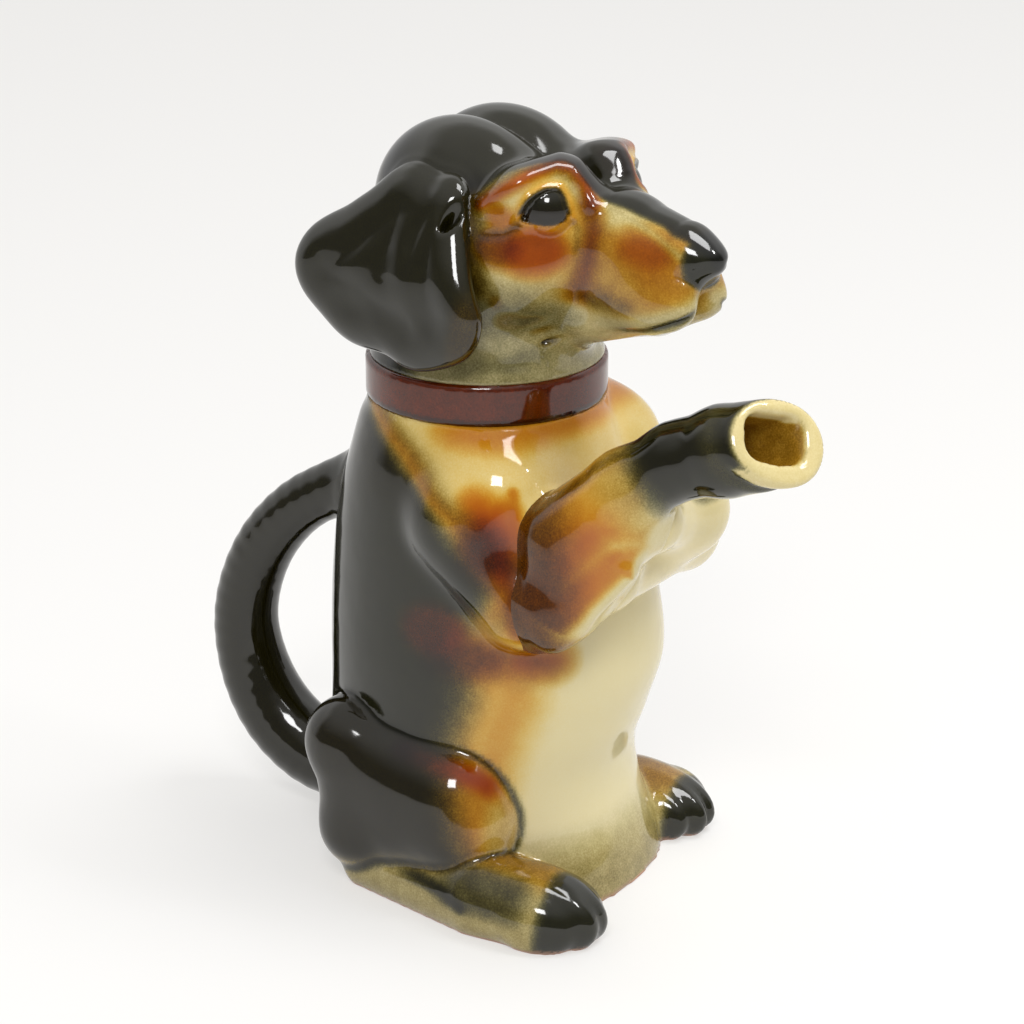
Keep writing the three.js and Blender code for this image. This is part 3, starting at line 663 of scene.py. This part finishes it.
def trunk_stains(p):
    """The dark sides and the gold that fringes them toward the pale belly."""
    m = mirrored(p)
    y, z = m[:, 1], m[:, 2]
    ahead = smooth_rows(z, SIDE_EDGE[:, 0], SIDE_EDGE[:, 1:])[:, 0] - y
    low = wash(z - 80, 16)
    dark = BLACK * wash(ahead + 1, 11 + 7 * low) + 0.2 * line(ahead - 8, 5) * (1 - low)
    rust = 0.02 + 0.45 * line(ahead - 5, 5 + 4 * low) * (1 - 0.3 * low) + 0.13 * wash(104 - z, 14)
    rust = over(rust, 0.42 * line(ahead - 12, 6) * low)
    rust = over(rust, 0.7 * line(z - 123.5, 3.6) * wash(y + 2, 14))
    rust, dark = spray(rust, dark, p, POT_SPRAYS)
    elbow = 0.3 * dab(m, (36, -12, 68), (6, 10, 6), 9) + 0.12 * dab(m, (31, -27, 68), (8, 8, 5), 10)
    dark = over(dark, elbow)
    patch = dab(m, *ELBOW_PATCH)
    return over(rust, 1.3 * patch), dark * (1 - 0.5 * patch)


def thigh_stains(m, n):
    """Black behind, gold in front, with a rusty band on top and a pale rim."""
    y, z = m[:, 1], m[:, 2]
    forward = wash(y + 13.5 - 0.3 * (z - 30), 13)
    band = stroke(m, THIGH_BAND, 2.6, 4)
    dark = BLACK * (1 - 0.55 * band * wash(y + 2, 16)) * (1 - 0.93 * forward)
    rust = 0.25 + 0.95 * band + 0.4 * forward
    below = wash(n[:, 2] + 0.5, 0.4) * wash(z - 22, 6)
    rim = np.maximum(below, wash(y + 21.5, 3.5))
    return toward(rust, 0.22, 0.85 * rim), toward(dark, 0.08, 0.95 * rim)


def foot_stains(p, m):
    """An olive foot with black toes and a dark outer side."""
    y, z = m[:, 1], m[:, 2]
    right_middle, right_spread, left_middle = RIGHT_FOOT[4][0], RIGHT_FOOT[6], LEFT_FOOT[4][0]
    x = np.where(p[:, 0] > 0, m[:, 0] - left_middle, (m[:, 0] - right_middle) / right_spread)
    top = wash(12.5 - z, 5) * wash(-(y + 44), 6)
    rust = 0.12 + 0.4 * top * wash(x - 5, 8)
    dark = 0.17 + 0.04 * top
    outer = wash(6 - x, 5) * wash(8 - z, 5) * wash(y + 12, 10) * wash(-(y + 36), 8)
    dark = toward(dark, 0.62, outer)
    dark = over(dark, 0.9 * stroke(m, FOOT_SHADE, 1.6, 3))
    dark = over(dark, 0.4 * stroke(m, FOOT_MARK, 0.5, 2))
    pale = line(x + 0.5 * (y + 40) - 5.5, 2.6) * wash(np.abs(y + 40) - 5, 4)
    dark = toward(dark, 0.14, 0.8 * pale)
    toes = wash(y + 39.5 - 0.12 * (10 - z) + 0.15 * np.abs(x), 4.5)
    return rust * (1 - 0.8 * toes), over(dark * (1 - toes), 1.06 * toes)


def paint_pot(p, n):
    m = mirrored(p)
    y, z = m[:, 1], m[:, 2]
    rust, dark = trunk_stains(p)
    thigh = haunch(m)
    on_haunch = wash(thigh - 0.4, 1.0)
    thigh_rust, thigh_dark = thigh_stains(m, n)
    rust, dark = toward(rust, thigh_rust, on_haunch), toward(dark, thigh_dark, on_haunch)
    on_foot = wash(legs(p) - 0.7, 1.4) * (1 - on_haunch) * wash(z - 21, 4)
    foot_rust, foot_dark = foot_stains(p, m)
    rust, dark = toward(rust, foot_rust, on_foot), toward(dark, foot_dark, on_foot)
    # Painted shade along the crease where the haunch meets the body.
    crease_shade = line(np.maximum(thigh, 0) - 0.4, 0.9) * (1 - on_haunch) * wash(z - 58, 6)
    dark = over(dark, 0.75 * crease_shade)
    # Painted shade low on the front of the body, between the feet, darker toward the floor.
    between = wash(z - 14, 18) * (1 - on_foot) * (1 - on_haunch) * wash(y + 10, 10)
    rust, dark = over(rust, 0.12 * between), over(dark, 0.22 * between)
    outside = 1 - wash(hollow(p) + 0.3, 0.6)
    return rust * outside, dark * outside, wash(z - 0.8, 0.6)


LEG_START = vec(-30, -34, 84)
LEG_ALONG = vec(0.115, -0.743, 0.66)
SPOUT_RIDGE = [(-33.5, -33.5, 108), (-32.5, -38, 113.5), (-31, -44.5, 118.5), (-29.5, -52, 124.5),
               (-28, -58, 128)]
SPOUT_SPRAYS = [
    (0.85, 0, "right", dab, (-38, -49, 104), (9, 8, 8), 13),
    (0.8, 0, "right", dab, (-40, -38, 92), (10, 10, 10), 13),
    # Painted shade: a dark band along the crease where the forearm meets the chest.
    (0, 0.5, "right", stroke, SPOUT_RIDGE, 1.6, 5),
    (0.35, 0, "right", stroke, SPOUT_RIDGE, 2.5, 5),
]


def paint_spout(p, n):
    along = (p - LEG_START) @ LEG_ALONG
    facing_x, facing_y, facing_z = n.T
    rust = 0.3 + 0.5 * wash(along - 26, 28)
    dark = 0.42 * wash(along - 20, 22) * wash(-p[:, 1] - 44, 14)
    rust, dark = spray(rust, dark, p, SPOUT_SPRAYS)
    dark = over(dark, 0.16 * wash(36 - along, 16))
    under = wash(facing_z + 0.45 + 0.35 * facing_x, 0.35)
    front = wash(facing_y + 0.72 - 0.3 * facing_x, 0.3)
    pale = np.maximum(front, under) * wash(-(along - 2), 10)
    rust, dark = toward(rust, 0.04, pale), toward(dark, 0.02, pale)
    upper_side = (1 - wash(facing_z + 0.82, 0.2)) * (1 - wash(facing_y + 0.97, 0.1))
    paw = wash(42.5 - along + 0.1 * (p[:, 2] - 118), 10) * upper_side
    rust, dark = rust * (1 - 0.7 * paw), over(dark, 1.05 * paw)
    slant = mouth_slant(p)
    rim = wash(-(slant + 1.2 + 2.4 * wash(facing_z + 0.2, 0.5)), 1.3)
    dark = toward(dark, 0.35, 0.4 * line(slant + 5.5, 2.2) * paw)
    inner = wash(bore(p) - 0.5, 0.8)
    clean = np.maximum(rim, inner)
    rust, dark = toward(rust, 0.06, clean), toward(dark, 0.02, clean)
    inner_only = inner * (1 - rim)
    return toward(rust, 0.5, inner_only), toward(dark, 0.2, inner_only), 0


def paint_left(p, n):
    top = wash(0.62 - n[:, 2], 0.35)
    shown = np.maximum(top, wash(0.35 - n[:, 0], 0.5))
    rust = 0.04 + 0.8 * shown * dab(p, (34, -36, 88), (10, 10, 10), 14)
    dark = top * dab(p, (6, -51, 104), (12, 12, 9), 8)
    # Painted shade where the leg lies against the chest.
    return rust, over(dark, 0.4 * wash(shoulders(p) - 2, 5) * shown), 0


def paint_tail(p, n):
    return 0.15, 1.05, 0


def paint_collar(p, n):
    rho = np.hypot(p[:, 0], p[:, 1])
    # Painted shade along the collar's lower outer edge, where it meets the pot.
    low = line(p[:, 2] - POT_TOP - 0.9, 0.7) * wash(28 - rho, 1)
    return 1.65, 0.3 + 0.35 * low, 0


# Lines on the head that the sprays follow. The cap's edge runs from the ear to the nose.
CAP_EDGE = [(27, -4, 47), (24.2, -11, 51.5), (21, -18, 55), (18.6, -25, 58.6), (14.2, -28.6, 60.0),
            (9.8, -32.5, 59.0), (7.6, -38, 53), (5.4, -47, 49.3), (4.2, -56, 46.3), (4.6, -60.5, 44)]
CAP_CENTRE = 34
CHEEK_VEIL = [(21.5, -13, 51.4), (24.6, -14.9, 43.9), (26.5, -16.4, 36), (25.5, -18, 29)]
MUZZLE_BAND = [(11, -39.5, 49.5), (12.6, -42, 44), (13.4, -41.5, 38), (13.6, -39, 31), (13, -37, 27)]
PALE_STRIPE = [(7.6, -43, 49.4), (7, -50, 46.8), (7, -57, 44), (7.4, -63, 41)]
LOWER_SHADE = [(13, -27, 11), (19, -20, 8.6), (24, -11, 7.6)]
UPPER_SHADE = [(16.5, -24, 20), (19, -17, 18), (22, -10, 17.5)]
MOUTH_CORNER = [(13.5, -25, 17.4), (9.5, -33, 17.8)]
NOSE_BLACK = ((0, -65.3, 38.6), (7.0, 5.4, 6.2))
# Below and behind the eye, then the band round the muzzle and the patches near the nose.
HEAD_SPRAYS = [
    (0.4, 0.62, "both", stroke, CHEEK_VEIL, 2.6, 8),
    (1.3, 0, "both", dab, (19, -29.5, 38.8), (8, 8.5, 5.6), 7),
    (0.9, 0.2, "both", dab, (24.5, -22.5, 39.5), (5, 6, 4.5), 6),
    (1.0, 0.22, "both", stroke, MUZZLE_BAND, 2.6, 7),
    (0.95, 0, "both", dab, (9.5, -55, 41), (7, 8, 5), 9),
    (0.45, 0, "both", dab, (10.5, -60, 34.5), (5, 6, 5), 7),
]


def cap_distance(m):
    """How far outside the cap's edge each point lies, measured around the head's long axis."""
    x, y, up = m[:, 0], m[:, 1], m[:, 2] - CAP_CENTRE
    edge = np.array(CAP_EDGE[::-1], np.float32)
    edge_x, edge_z = smooth_rows(y, edge[:, 1], edge[:, [0, 2]]).T
    edge_up = edge_z - CAP_CENTRE
    angle = np.arctan2(x, up) - np.arctan2(edge_x, edge_up)
    return angle * np.minimum(np.hypot(x, up), np.hypot(edge_x, edge_up))


def eye_stains(rust, dark, m, cap):
    """The black rim of the eye, its lower lid, the rusty brow and painted shade in the grooves at its
    corners.
    """
    a, u, o = eye_steps(m)
    near = wash(np.hypot(a, u) - 18, 3) * wash(-(o + 5), 3)
    opening = eye_opening(a, u)
    around = wash(opening - 3, 3) * near
    dark = dark * (1 - 0.85 * around * wash(1 - cap, 2))
    rust = over(rust, 1.2 * line(flat_line(a, u, BROW), 1.9) * near)
    rust = toward(rust, 0.5, 0.8 * line(opening - 1.6, 1.1) * wash(-u - 0.5, 2) * near)
    rust = over(rust, 0.5 * around * wash(u, 3))
    dark = over(dark, 1.1 * wash(opening - 0.1, 0.9) * near)
    dark = over(dark, line(opening - 0.5, 0.6) * wash(-u - 1.0, 1.5) * near)
    # Painted shade in the grooves of the tear line and the corner fold.
    dark = over(dark, 0.16 * line(flat_line(a, u, TEAR_LINE), 1.1) * near)
    dark = over(dark, 0.3 * line(flat_line(a, u, CORNER_FOLD), 1.1) * near)
    return rust, dark


def paint_head(p, n):
    m = mirrored(to_head(p))
    y, z = m[:, 1], m[:, 2]
    cap = cap_distance(m)
    muzzle = wash(y + 35, 14)
    dark = BLACK * wash(cap - 0.4, 5.0 - 2.6 * wash(y + 30, 12)) + 0.3 * line(cap - 2.5, 3) * (1 - muzzle)
    dark = over(dark, wash(4 - y + 0.2 * (z - 20), 14))
    dark = over(dark, 0.08 * muzzle)
    rust = 0.1 + 0.36 * muzzle * wash(26 - z, 8) * wash(z - 45, 4)
    rust, dark = spray(rust, dark, m, HEAD_SPRAYS)
    stripe = stroke(m, PALE_STRIPE, 0.9, 3) * (1 - wash(cap + 0.2, 1.5))
    rust, dark = toward(rust, 0.08, 0.85 * stripe), over(dark, 0.1 * stripe)
    jaw = wash(z - 25.5 + 4 * wash(y + 36, 14), 5)
    shade_under_muzzle = wash(z - 31, 8) * wash(-33 - y, 12) * wash(18 - z, 8)
    rust = toward(rust, 0.05, 0.9 * jaw)
    # Painted shade on the lower jaw and under the muzzle; the jaw's cream itself is its own colour.
    dark = over(dark, 0.2 * jaw * (1 - muzzle) + 0.24 * shade_under_muzzle)
    rust, dark = spray(rust, dark, m, [(0.3, 0.26, "both", dab, (12, -44, 27.5), (5, 9, 3.2), 6)])
    shade = line(polyline(m, LOWER_SHADE), 3.0) + 0.8 * line(polyline(m, UPPER_SHADE), 2.6)
    dark = over(dark, 0.26 * np.clip(shade, 0, 1) + 0.06)
    spot = np.maximum(stroke(m, MOUTH_CORNER, 0.8, 2.4), dab(m, (24.2, -22, 26), (1.6, 1.8, 2.2), 2.4))
    rust, dark = over(rust, 0.35 * spot), over(dark, 0.26 * spot)
    lips = polyline(m, MOUTH_LINE)
    front = wash(y + 50, 10)
    rust = over(rust, 0.3 * line(lips, 1.4) * (1 - front))
    dark = over(dark, line(lips, 0.95) * (0.65 + 0.4 * front))
    nose = wash(ellipsoid(m, *NOSE_BLACK) - 0.5, 1.8)
    rust, dark = rust * (1 - nose), over(dark, 1.05 * nose)
    pale_lip = wash(lips - 4.2, 3.5) * wash(y + 30, 10) * (1 - nose)
    rust = toward(rust, 0.03, 0.85 * pale_lip)
    rust = over(rust, 0.8 * dab(m, (22, -22, 47), (3.5, 4, 4), 5))
    rust, dark = eye_stains(rust, dark, m, cap)
    hidden = wash(z - SEAT - 0.2, 0.6)
    return rust, dark * (1 - hidden), 0


def paint_ear(p, n):
    m = mirrored(to_head(p))
    rim = wash(m[:, 1] + 17.5 + 0.25 * (m[:, 2] - 20), 4) * wash(m[:, 2] - 30, 10)
    return 0.1 + 0.3 * rim, 1.05 - 0.3 * rim, 0


# Surfaces. The field is sampled on a grid, the crossings become a mesh of quads,
# and its points are then drawn onto the exact surface.
# The grid is filled block by block, and only blocks that the surface may cross are sampled.
BLOCK = 8
BLOCKS_AT_ONCE = 300
FAR = 9.0
# Half a cube's diagonal, how much steeper than a distance a field may be, and a margin.
HALF_DIAGONAL, STEEPEST, MARGIN = 0.87, 1.7, 1.5
DRAWS_ONTO_SURFACE = 3
SLOPE_STEP, NORMAL_STEP, LEAST_SLOPE = 0.2, 0.12, 0.2


def sample(field, low, high, step):
    low = np.asarray(low, np.float64)
    count = np.ceil((np.asarray(high) - low) / step).astype(int) + 1
    blocks = (count + BLOCK - 1) // BLOCK
    values = np.full(blocks * BLOCK, FAR, np.float32)
    middles = [(np.arange(n) + 0.5) * BLOCK * step for n in blocks]
    centres = np.stack(np.meshgrid(*middles, indexing="ij"), -1) + low
    at_centre = field(centres.reshape(-1, 3).astype(np.float32)).reshape(blocks)
    reach = BLOCK * step * HALF_DIAGONAL * STEEPEST + MARGIN
    live = np.argwhere(np.abs(at_centre) < reach)
    offset = np.stack(np.meshgrid(*[np.arange(BLOCK)] * 3, indexing="ij"), -1).reshape(-1, 3)
    split = values.reshape(blocks[0], BLOCK, blocks[1], BLOCK, blocks[2], BLOCK)
    view = split.transpose(0, 2, 4, 1, 3, 5)
    view[...] = np.where(at_centre < 0, -FAR, FAR)[..., None, None, None]
    for part in np.array_split(live, max(1, len(live) // BLOCKS_AT_ONCE)):
        if len(part):
            index = part[:, None, :] * BLOCK + offset
            points = (index * step + low).astype(np.float32)
            d = field(points.reshape(-1, 3)).reshape(len(part), BLOCK, BLOCK, BLOCK)
            view[part[:, 0], part[:, 1], part[:, 2]] = d
    return values, low


def polygonise(field, low, high, step):
    g, low = sample(field, low, high, step)
    inside = g < 0
    corners = [(i, j, k) for i in (0, 1) for j in (0, 1) for k in (0, 1)]
    n = np.array(g.shape) - 1

    def window(grid, corner):
        return grid[tuple(slice(c, c + size) for c, size in zip(corner, n))]

    total = sum(window(inside, c).astype(np.int8) for c in corners)
    cells = np.argwhere((total > 0) & (total < 8))
    number = np.full(n, -1, np.int64)
    number[tuple(cells.T)] = np.arange(len(cells))
    value = np.stack([g[tuple((cells + c).T)] for c in corners], -1)
    place = np.zeros((len(cells), 3))
    weight = np.zeros(len(cells))
    for a in range(8):
        for b in range(a + 1, 8):
            ca, cb = np.array(corners[a]), np.array(corners[b])
            if np.abs(ca - cb).sum() != 1:
                continue
            va, vb = value[:, a], value[:, b]
            crossed = (va < 0) != (vb < 0)
            t = np.where(crossed, va / np.where(crossed, va - vb, 1), 0)
            place += np.where(crossed[:, None], ca + t[:, None] * (cb - ca), 0)
            weight += crossed
    points = (cells + place / weight[:, None]) * step + low
    faces = []
    for axis in range(3):
        u, v = (axis + 1) % 3, (axis + 2) % 3
        ahead = np.zeros(3, int)
        ahead[axis] = 1
        lower = inside[tuple(slice(0, s - d) for s, d in zip(g.shape, ahead))]
        upper = inside[tuple(slice(d, s) for s, d in zip(g.shape, ahead))]
        edges = np.argwhere(lower != upper)
        keep = (edges[:, u] > 0) & (edges[:, v] > 0) & (edges[:, u] < n[u]) & (edges[:, v] < n[v])
        edges = edges[keep]
        outward = lower[tuple(edges.T)]
        du, dv = np.zeros(3, int), np.zeros(3, int)
        du[u] = 1
        dv[v] = 1
        quad = np.stack([number[tuple((edges - s).T)] for s in (du + dv, dv, 0 * du, du)], -1)
        quad[~outward] = quad[~outward][:, ::-1]
        faces.append(quad)
    faces = np.concatenate(faces)
    for _ in range(DRAWS_ONTO_SURFACE):
        p = points.astype(np.float32)
        slope = gradient(field, p, SLOPE_STEP)
        length = np.maximum((slope * slope).sum(-1), LEAST_SLOPE)
        points = points + np.clip(-field(p) / length, -step, step)[:, None] * slope
    return points, faces


def gradient(field, p, e):
    out = np.zeros_like(p)
    for axis in range(3):
        o = np.zeros(3, np.float32)
        o[axis] = e
        out[:, axis] = (field(p + o) - field(p - o)) / (2 * e)
    return out


def make(name, field, paint, low, high, step):
    points, faces = polygonise(field, low, high, step)
    normal = gradient(field, points.astype(np.float32), NORMAL_STEP)
    normal /= np.maximum(np.linalg.norm(normal, axis=1, keepdims=True), TINY)
    mesh = bpy.data.meshes.new(name)
    mesh.from_pydata((points * MM).tolist(), [], faces.tolist())
    mesh.polygons.foreach_set("use_smooth", np.ones(len(mesh.polygons), bool))
    piece = bpy.data.objects.new(name, mesh)
    bpy.context.scene.collection.objects.link(piece)
    mesh.update()
    stains = paint(points.astype(np.float32), normal.astype(np.float32))
    for label, amount in zip(("rust", "dark", "bare"), stains):
        values = np.full(len(points), amount, np.float32)
        mesh.attributes.new(label, "FLOAT", "POINT").data.foreach_set("value", values)
    return piece


# Each piece: its field, its paint, the two corners of its grid and the grid's step.
SHAPES = {
    "pot_body": (pot_field, paint_pot, (-62, -56, -3), (56, 45, 138), STEP_BODY),
    "collar": (collar_field, paint_collar, (-33, -33, 122), (33, 33, 138), STEP_BODY),
    "spout_foreleg": (spout_field, paint_spout, (-46, -106, 68), (-5, -20, 144), STEP_FINE),
    "left_foreleg": (left_foreleg_field, paint_left, (-38, -70, 64), (50, -14, 118), STEP_FINE),
    "tail_handle": (tail_field, paint_tail, (-12, 24, -1), (12, 86, 114), STEP_BODY),
    "head_lid": (head_field, paint_head, (-36, -76, 120), (36, 34, 202), STEP_HEAD),
    "right_ear": (lambda p: ear_field(p, -1), paint_ear, (-44, -34, 134), (-10, 44, 196), STEP_FINE),
    "left_ear": (lambda p: ear_field(p, 1), paint_ear, (10, -34, 134), (46, 44, 196), STEP_FINE),
}
# The body that each piece rides on, and its slot as the record names it.
BODY = {"pot_body": "pot", "collar": "pot", "spout_foreleg": "pot", "left_foreleg": "pot",
        "tail_handle": "pot", "head_lid": "lid", "right_ear": "lid", "left_ear": "lid"}
pieces = {}
for name, (field, paint, low, high, step) in SHAPES.items():
    piece = make(name + "_glazed", field, paint, low, high, step)
    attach(piece, BODY[name])
    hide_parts(name)
    pieces[name] = piece


class Nodes:
    """Adds nodes to a tree. Each input takes a number, a colour or another node's output."""

    def __init__(self, tree):
        self.tree = tree

    def feed(self, node, inputs):
        for key, value in inputs.items():
            if isinstance(value, bpy.types.NodeSocket):
                self.tree.links.new(value, node.inputs[key])
            else:
                node.inputs[key].default_value = value

    def add(self, kind, inputs, **settings):
        node = self.tree.nodes.new(kind)
        for key, value in settings.items():
            setattr(node, key, value)
        self.feed(node, inputs)
        return node.outputs

    def maths(self, operation, *values):
        return self.add("ShaderNodeMath", dict(enumerate(values)), operation=operation)[0]


CREAM = (0.74, 0.66, 0.40)
CLAY = (0.52, 0.27, 0.17)
RUST_ABSORBS = (0.55, 1.75, 5.6)
DARK_ABSORBS = (4.05, 3.95, 4.7)
SPECKLE_SIZE, CLOUD_SIZE, RIPPLE_SIZE = 0.00045, 0.004, 0.009
SPECKLE_GRAIN, CLOUD_GRAIN = 1.1, 0.7
RUST_GRAIN, DARK_GRAIN = 0.9, 1.5
# The thickness from which a stain covers without any grain.
GRAINLESS = 1.15
RIPPLE_STRENGTH, RIPPLE_DEPTH = 0.25, 0.0006
GLAZE_ROUGHNESS, CLOUD_ROUGHNESS, CLAY_ROUGHNESS = 0.06, 0.05, 0.5
GLAZE_IOR = 1.58


def glaze(name):
    """A clear glaze over sprayed stains that soak up light by their thickness."""
    material = bpy.data.materials.new(name)
    material.use_nodes = True
    nodes = Nodes(material.node_tree)
    maths = nodes.maths
    place = nodes.add("ShaderNodeTexCoord", {})["Object"]

    def noise(size, detail):
        inputs = {"Vector": place, "Scale": 1 / size, "Detail": detail, "Roughness": 0.6}
        return nodes.add("ShaderNodeTexNoise", inputs)["Fac"]

    def stain(label):
        return nodes.add("ShaderNodeAttribute", {}, attribute_name=label)["Fac"]

    speckle, cloud = noise(SPECKLE_SIZE, 2), noise(CLOUD_SIZE, 3)
    grain = maths("ADD", maths("MULTIPLY", maths("SUBTRACT", speckle, 0.5), SPECKLE_GRAIN),
                  maths("MULTIPLY", maths("SUBTRACT", cloud, 0.5), CLOUD_GRAIN))

    def sprayed(label, strength):
        """The stain's thickness, grainy where the spray thins out."""
        amount = stain(label)
        thinner = maths("MAXIMUM", maths("SUBTRACT", GRAINLESS, amount), 0.0)
        spread = maths("MULTIPLY", amount, thinner)
        grainy = maths("MULTIPLY_ADD", maths("MULTIPLY", grain, strength), spread, amount)
        return maths("MAXIMUM", grainy, 0.0)

    rust, dark, bare = sprayed("rust", RUST_GRAIN), sprayed("dark", DARK_GRAIN), stain("bare")
    channels = []
    for cream, red, black in zip(CREAM, RUST_ABSORBS, DARK_ABSORBS):
        soaked = maths("MULTIPLY_ADD", rust, -red, maths("MULTIPLY", dark, -black))
        channels.append(maths("MULTIPLY", maths("EXPONENT", soaked), cream))
    stained = nodes.add("ShaderNodeCombineColor", dict(enumerate(channels)))["Color"]
    mixed = nodes.add("ShaderNodeMix", {"Factor": bare, 6: stained, 7: (*CLAY, 1)}, data_type="RGBA")[2]
    smooth = maths("MULTIPLY_ADD", cloud, CLOUD_ROUGHNESS, GLAZE_ROUGHNESS)
    roughness = maths("MULTIPLY_ADD", bare, CLAY_ROUGHNESS, smooth)
    ripple = {"Strength": RIPPLE_STRENGTH, "Distance": RIPPLE_DEPTH, "Height": noise(RIPPLE_SIZE, 1)}
    bump = nodes.add("ShaderNodeBump", ripple)["Normal"]
    nodes.feed(material.node_tree.nodes["Principled BSDF"],
               {"Base Color": mixed, "Roughness": roughness, "IOR": GLAZE_IOR, "Normal": bump})
    return material


for name, piece in pieces.items():
    piece.data.materials.append(glaze(name + "_glaze"))

# Floor, light and camera.
FLOOR_SIZE = 12
FLOOR = (0.8, 0.795, 0.785)
FLOOR_ROUGHNESS = 0.7
PAPER = (1.0, 0.985, 0.96)
PAPER_SHARE = 0.55


def paper(name):
    """The white sheet under the object: the camera and the glaze see it lit more than it lights."""
    material = bpy.data.materials.new(name)
    material.use_nodes = True
    nodes = Nodes(material.node_tree)
    lit = material.node_tree.nodes["Principled BSDF"]
    nodes.feed(lit, {"Base Color": (*FLOOR, 1), "Roughness": FLOOR_ROUGHNESS})
    shown = nodes.add("ShaderNodeEmission", {"Color": (*PAPER, 1)})[0]
    rays = nodes.add("ShaderNodeLightPath", {})
    seen = nodes.maths("MAXIMUM", rays["Is Camera Ray"], rays["Is Glossy Ray"])
    share = nodes.maths("MULTIPLY", seen, PAPER_SHARE)
    mix = nodes.add("ShaderNodeMixShader", {0: share, 1: lit.outputs[0], 2: shown})[0]
    nodes.feed(material.node_tree.nodes["Material Output"], {"Surface": mix})
    return material


bpy.ops.mesh.primitive_plane_add(size=FLOOR_SIZE, location=(0, 0, 0))
floor = bpy.context.object
floor.name = "floor"
floor.data.materials.append(paper("floor"))
floor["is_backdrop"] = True

AWAY_FROM_CAMERA = (0.88, 0.475, 0)
# How bright the sheet behind the object is, and the room at its sides and overhead.
SHEET_LIGHT, ROOM_LIGHT, OVERHEAD_LIGHT = 0.62, 0.18, 0.7


def studio():
    """A white sheet hangs behind the object, and the room in front of it is darker."""
    world = bpy.data.worlds.new("studio")
    world.use_nodes = True
    nodes = Nodes(world.node_tree)

    def ramp(value, start, stop, low, high):
        inputs = {"Value": value, "From Min": start, "From Max": stop, "To Min": low, "To Max": high}
        return nodes.add("ShaderNodeMapRange", inputs, interpolation_type="SMOOTHSTEP")["Result"]

    sky = nodes.add("ShaderNodeTexCoord", {})["Generated"]
    facing = {0: sky, 1: AWAY_FROM_CAMERA}
    behind = nodes.add("ShaderNodeVectorMath", facing, operation="DOT_PRODUCT")["Value"]
    height = nodes.add("ShaderNodeSeparateXYZ", {0: sky})["Z"]
    sheet = nodes.maths("MULTIPLY", ramp(behind, 0.0, 0.3, 0, SHEET_LIGHT), ramp(height, 0.6, 0.85, 1, 0))
    level = nodes.maths("ADD", sheet, ramp(height, 0.3, 0.95, ROOM_LIGHT, OVERHEAD_LIGHT))
    nodes.feed(world.node_tree.nodes["Background"], {"Strength": level, "Color": (1, 1, 1, 1)})
    return world


bpy.context.scene.world = studio()

LAMP_TARGET = (0, 0, 0.1)
# Each lamp: its name, its place and size in metres, and its power in watts.
LAMPS = (
    ("window", (0.2, -0.43, 1.31), 0.5, 7.6),
    ("left", (-0.88, -0.36, 0.98), 0.34, 7),
    ("small", (0.24, -0.72, 1.04), 0.11, 1.2),
    ("smaller", (0.16, -0.8, 0.98), 0.08, 0.8),
)
for name, place, size, power in LAMPS:
    lamp = bpy.data.objects.new(name, bpy.data.lights.new(name, "AREA"))
    lamp.data.size = size
    lamp.data.energy = power
    lamp.location = place
    lamp.rotation_euler = (Vector(LAMP_TARGET) - Vector(place)).to_track_quat("-Z", "Y").to_euler()
    bpy.context.scene.collection.objects.link(lamp)
    lamp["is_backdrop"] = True

# The camera as found from the photo: its direction, its focal length in pixels and its place.
AZIMUTH, PITCH, FOCAL = -61.5, 20.5, 3200.0
CAMERA_PLACE = (-0.66174, -0.36637, 0.37500)
PHOTO_WIDTH, SENSOR_WIDTH = 1024, 36
camera = bpy.data.objects.new("camera", bpy.data.cameras.new("camera"))
bpy.context.scene.collection.objects.link(camera)
camera.data.sensor_width = SENSOR_WIDTH
camera.data.lens = FOCAL / PHOTO_WIDTH * SENSOR_WIDTH
camera.data.clip_start = 0.01
camera.location = CAMERA_PLACE
azimuth, pitch = math.radians(AZIMUTH), math.radians(PITCH)
right = Vector((math.cos(azimuth), math.sin(azimuth), 0))
back = Vector((math.sin(azimuth) * math.cos(pitch), -math.cos(azimuth) * math.cos(pitch), math.sin(pitch)))
up = back.cross(right)
camera.rotation_euler = Matrix((right, up, back)).transposed().to_euler()
bpy.context.scene.camera = camera
bpy.context.scene.view_settings.view_transform = "Standard"

low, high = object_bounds()
{"cad": [list(cad_box[0]), list(cad_box[1])], "visual": [list(low), list(high)]}
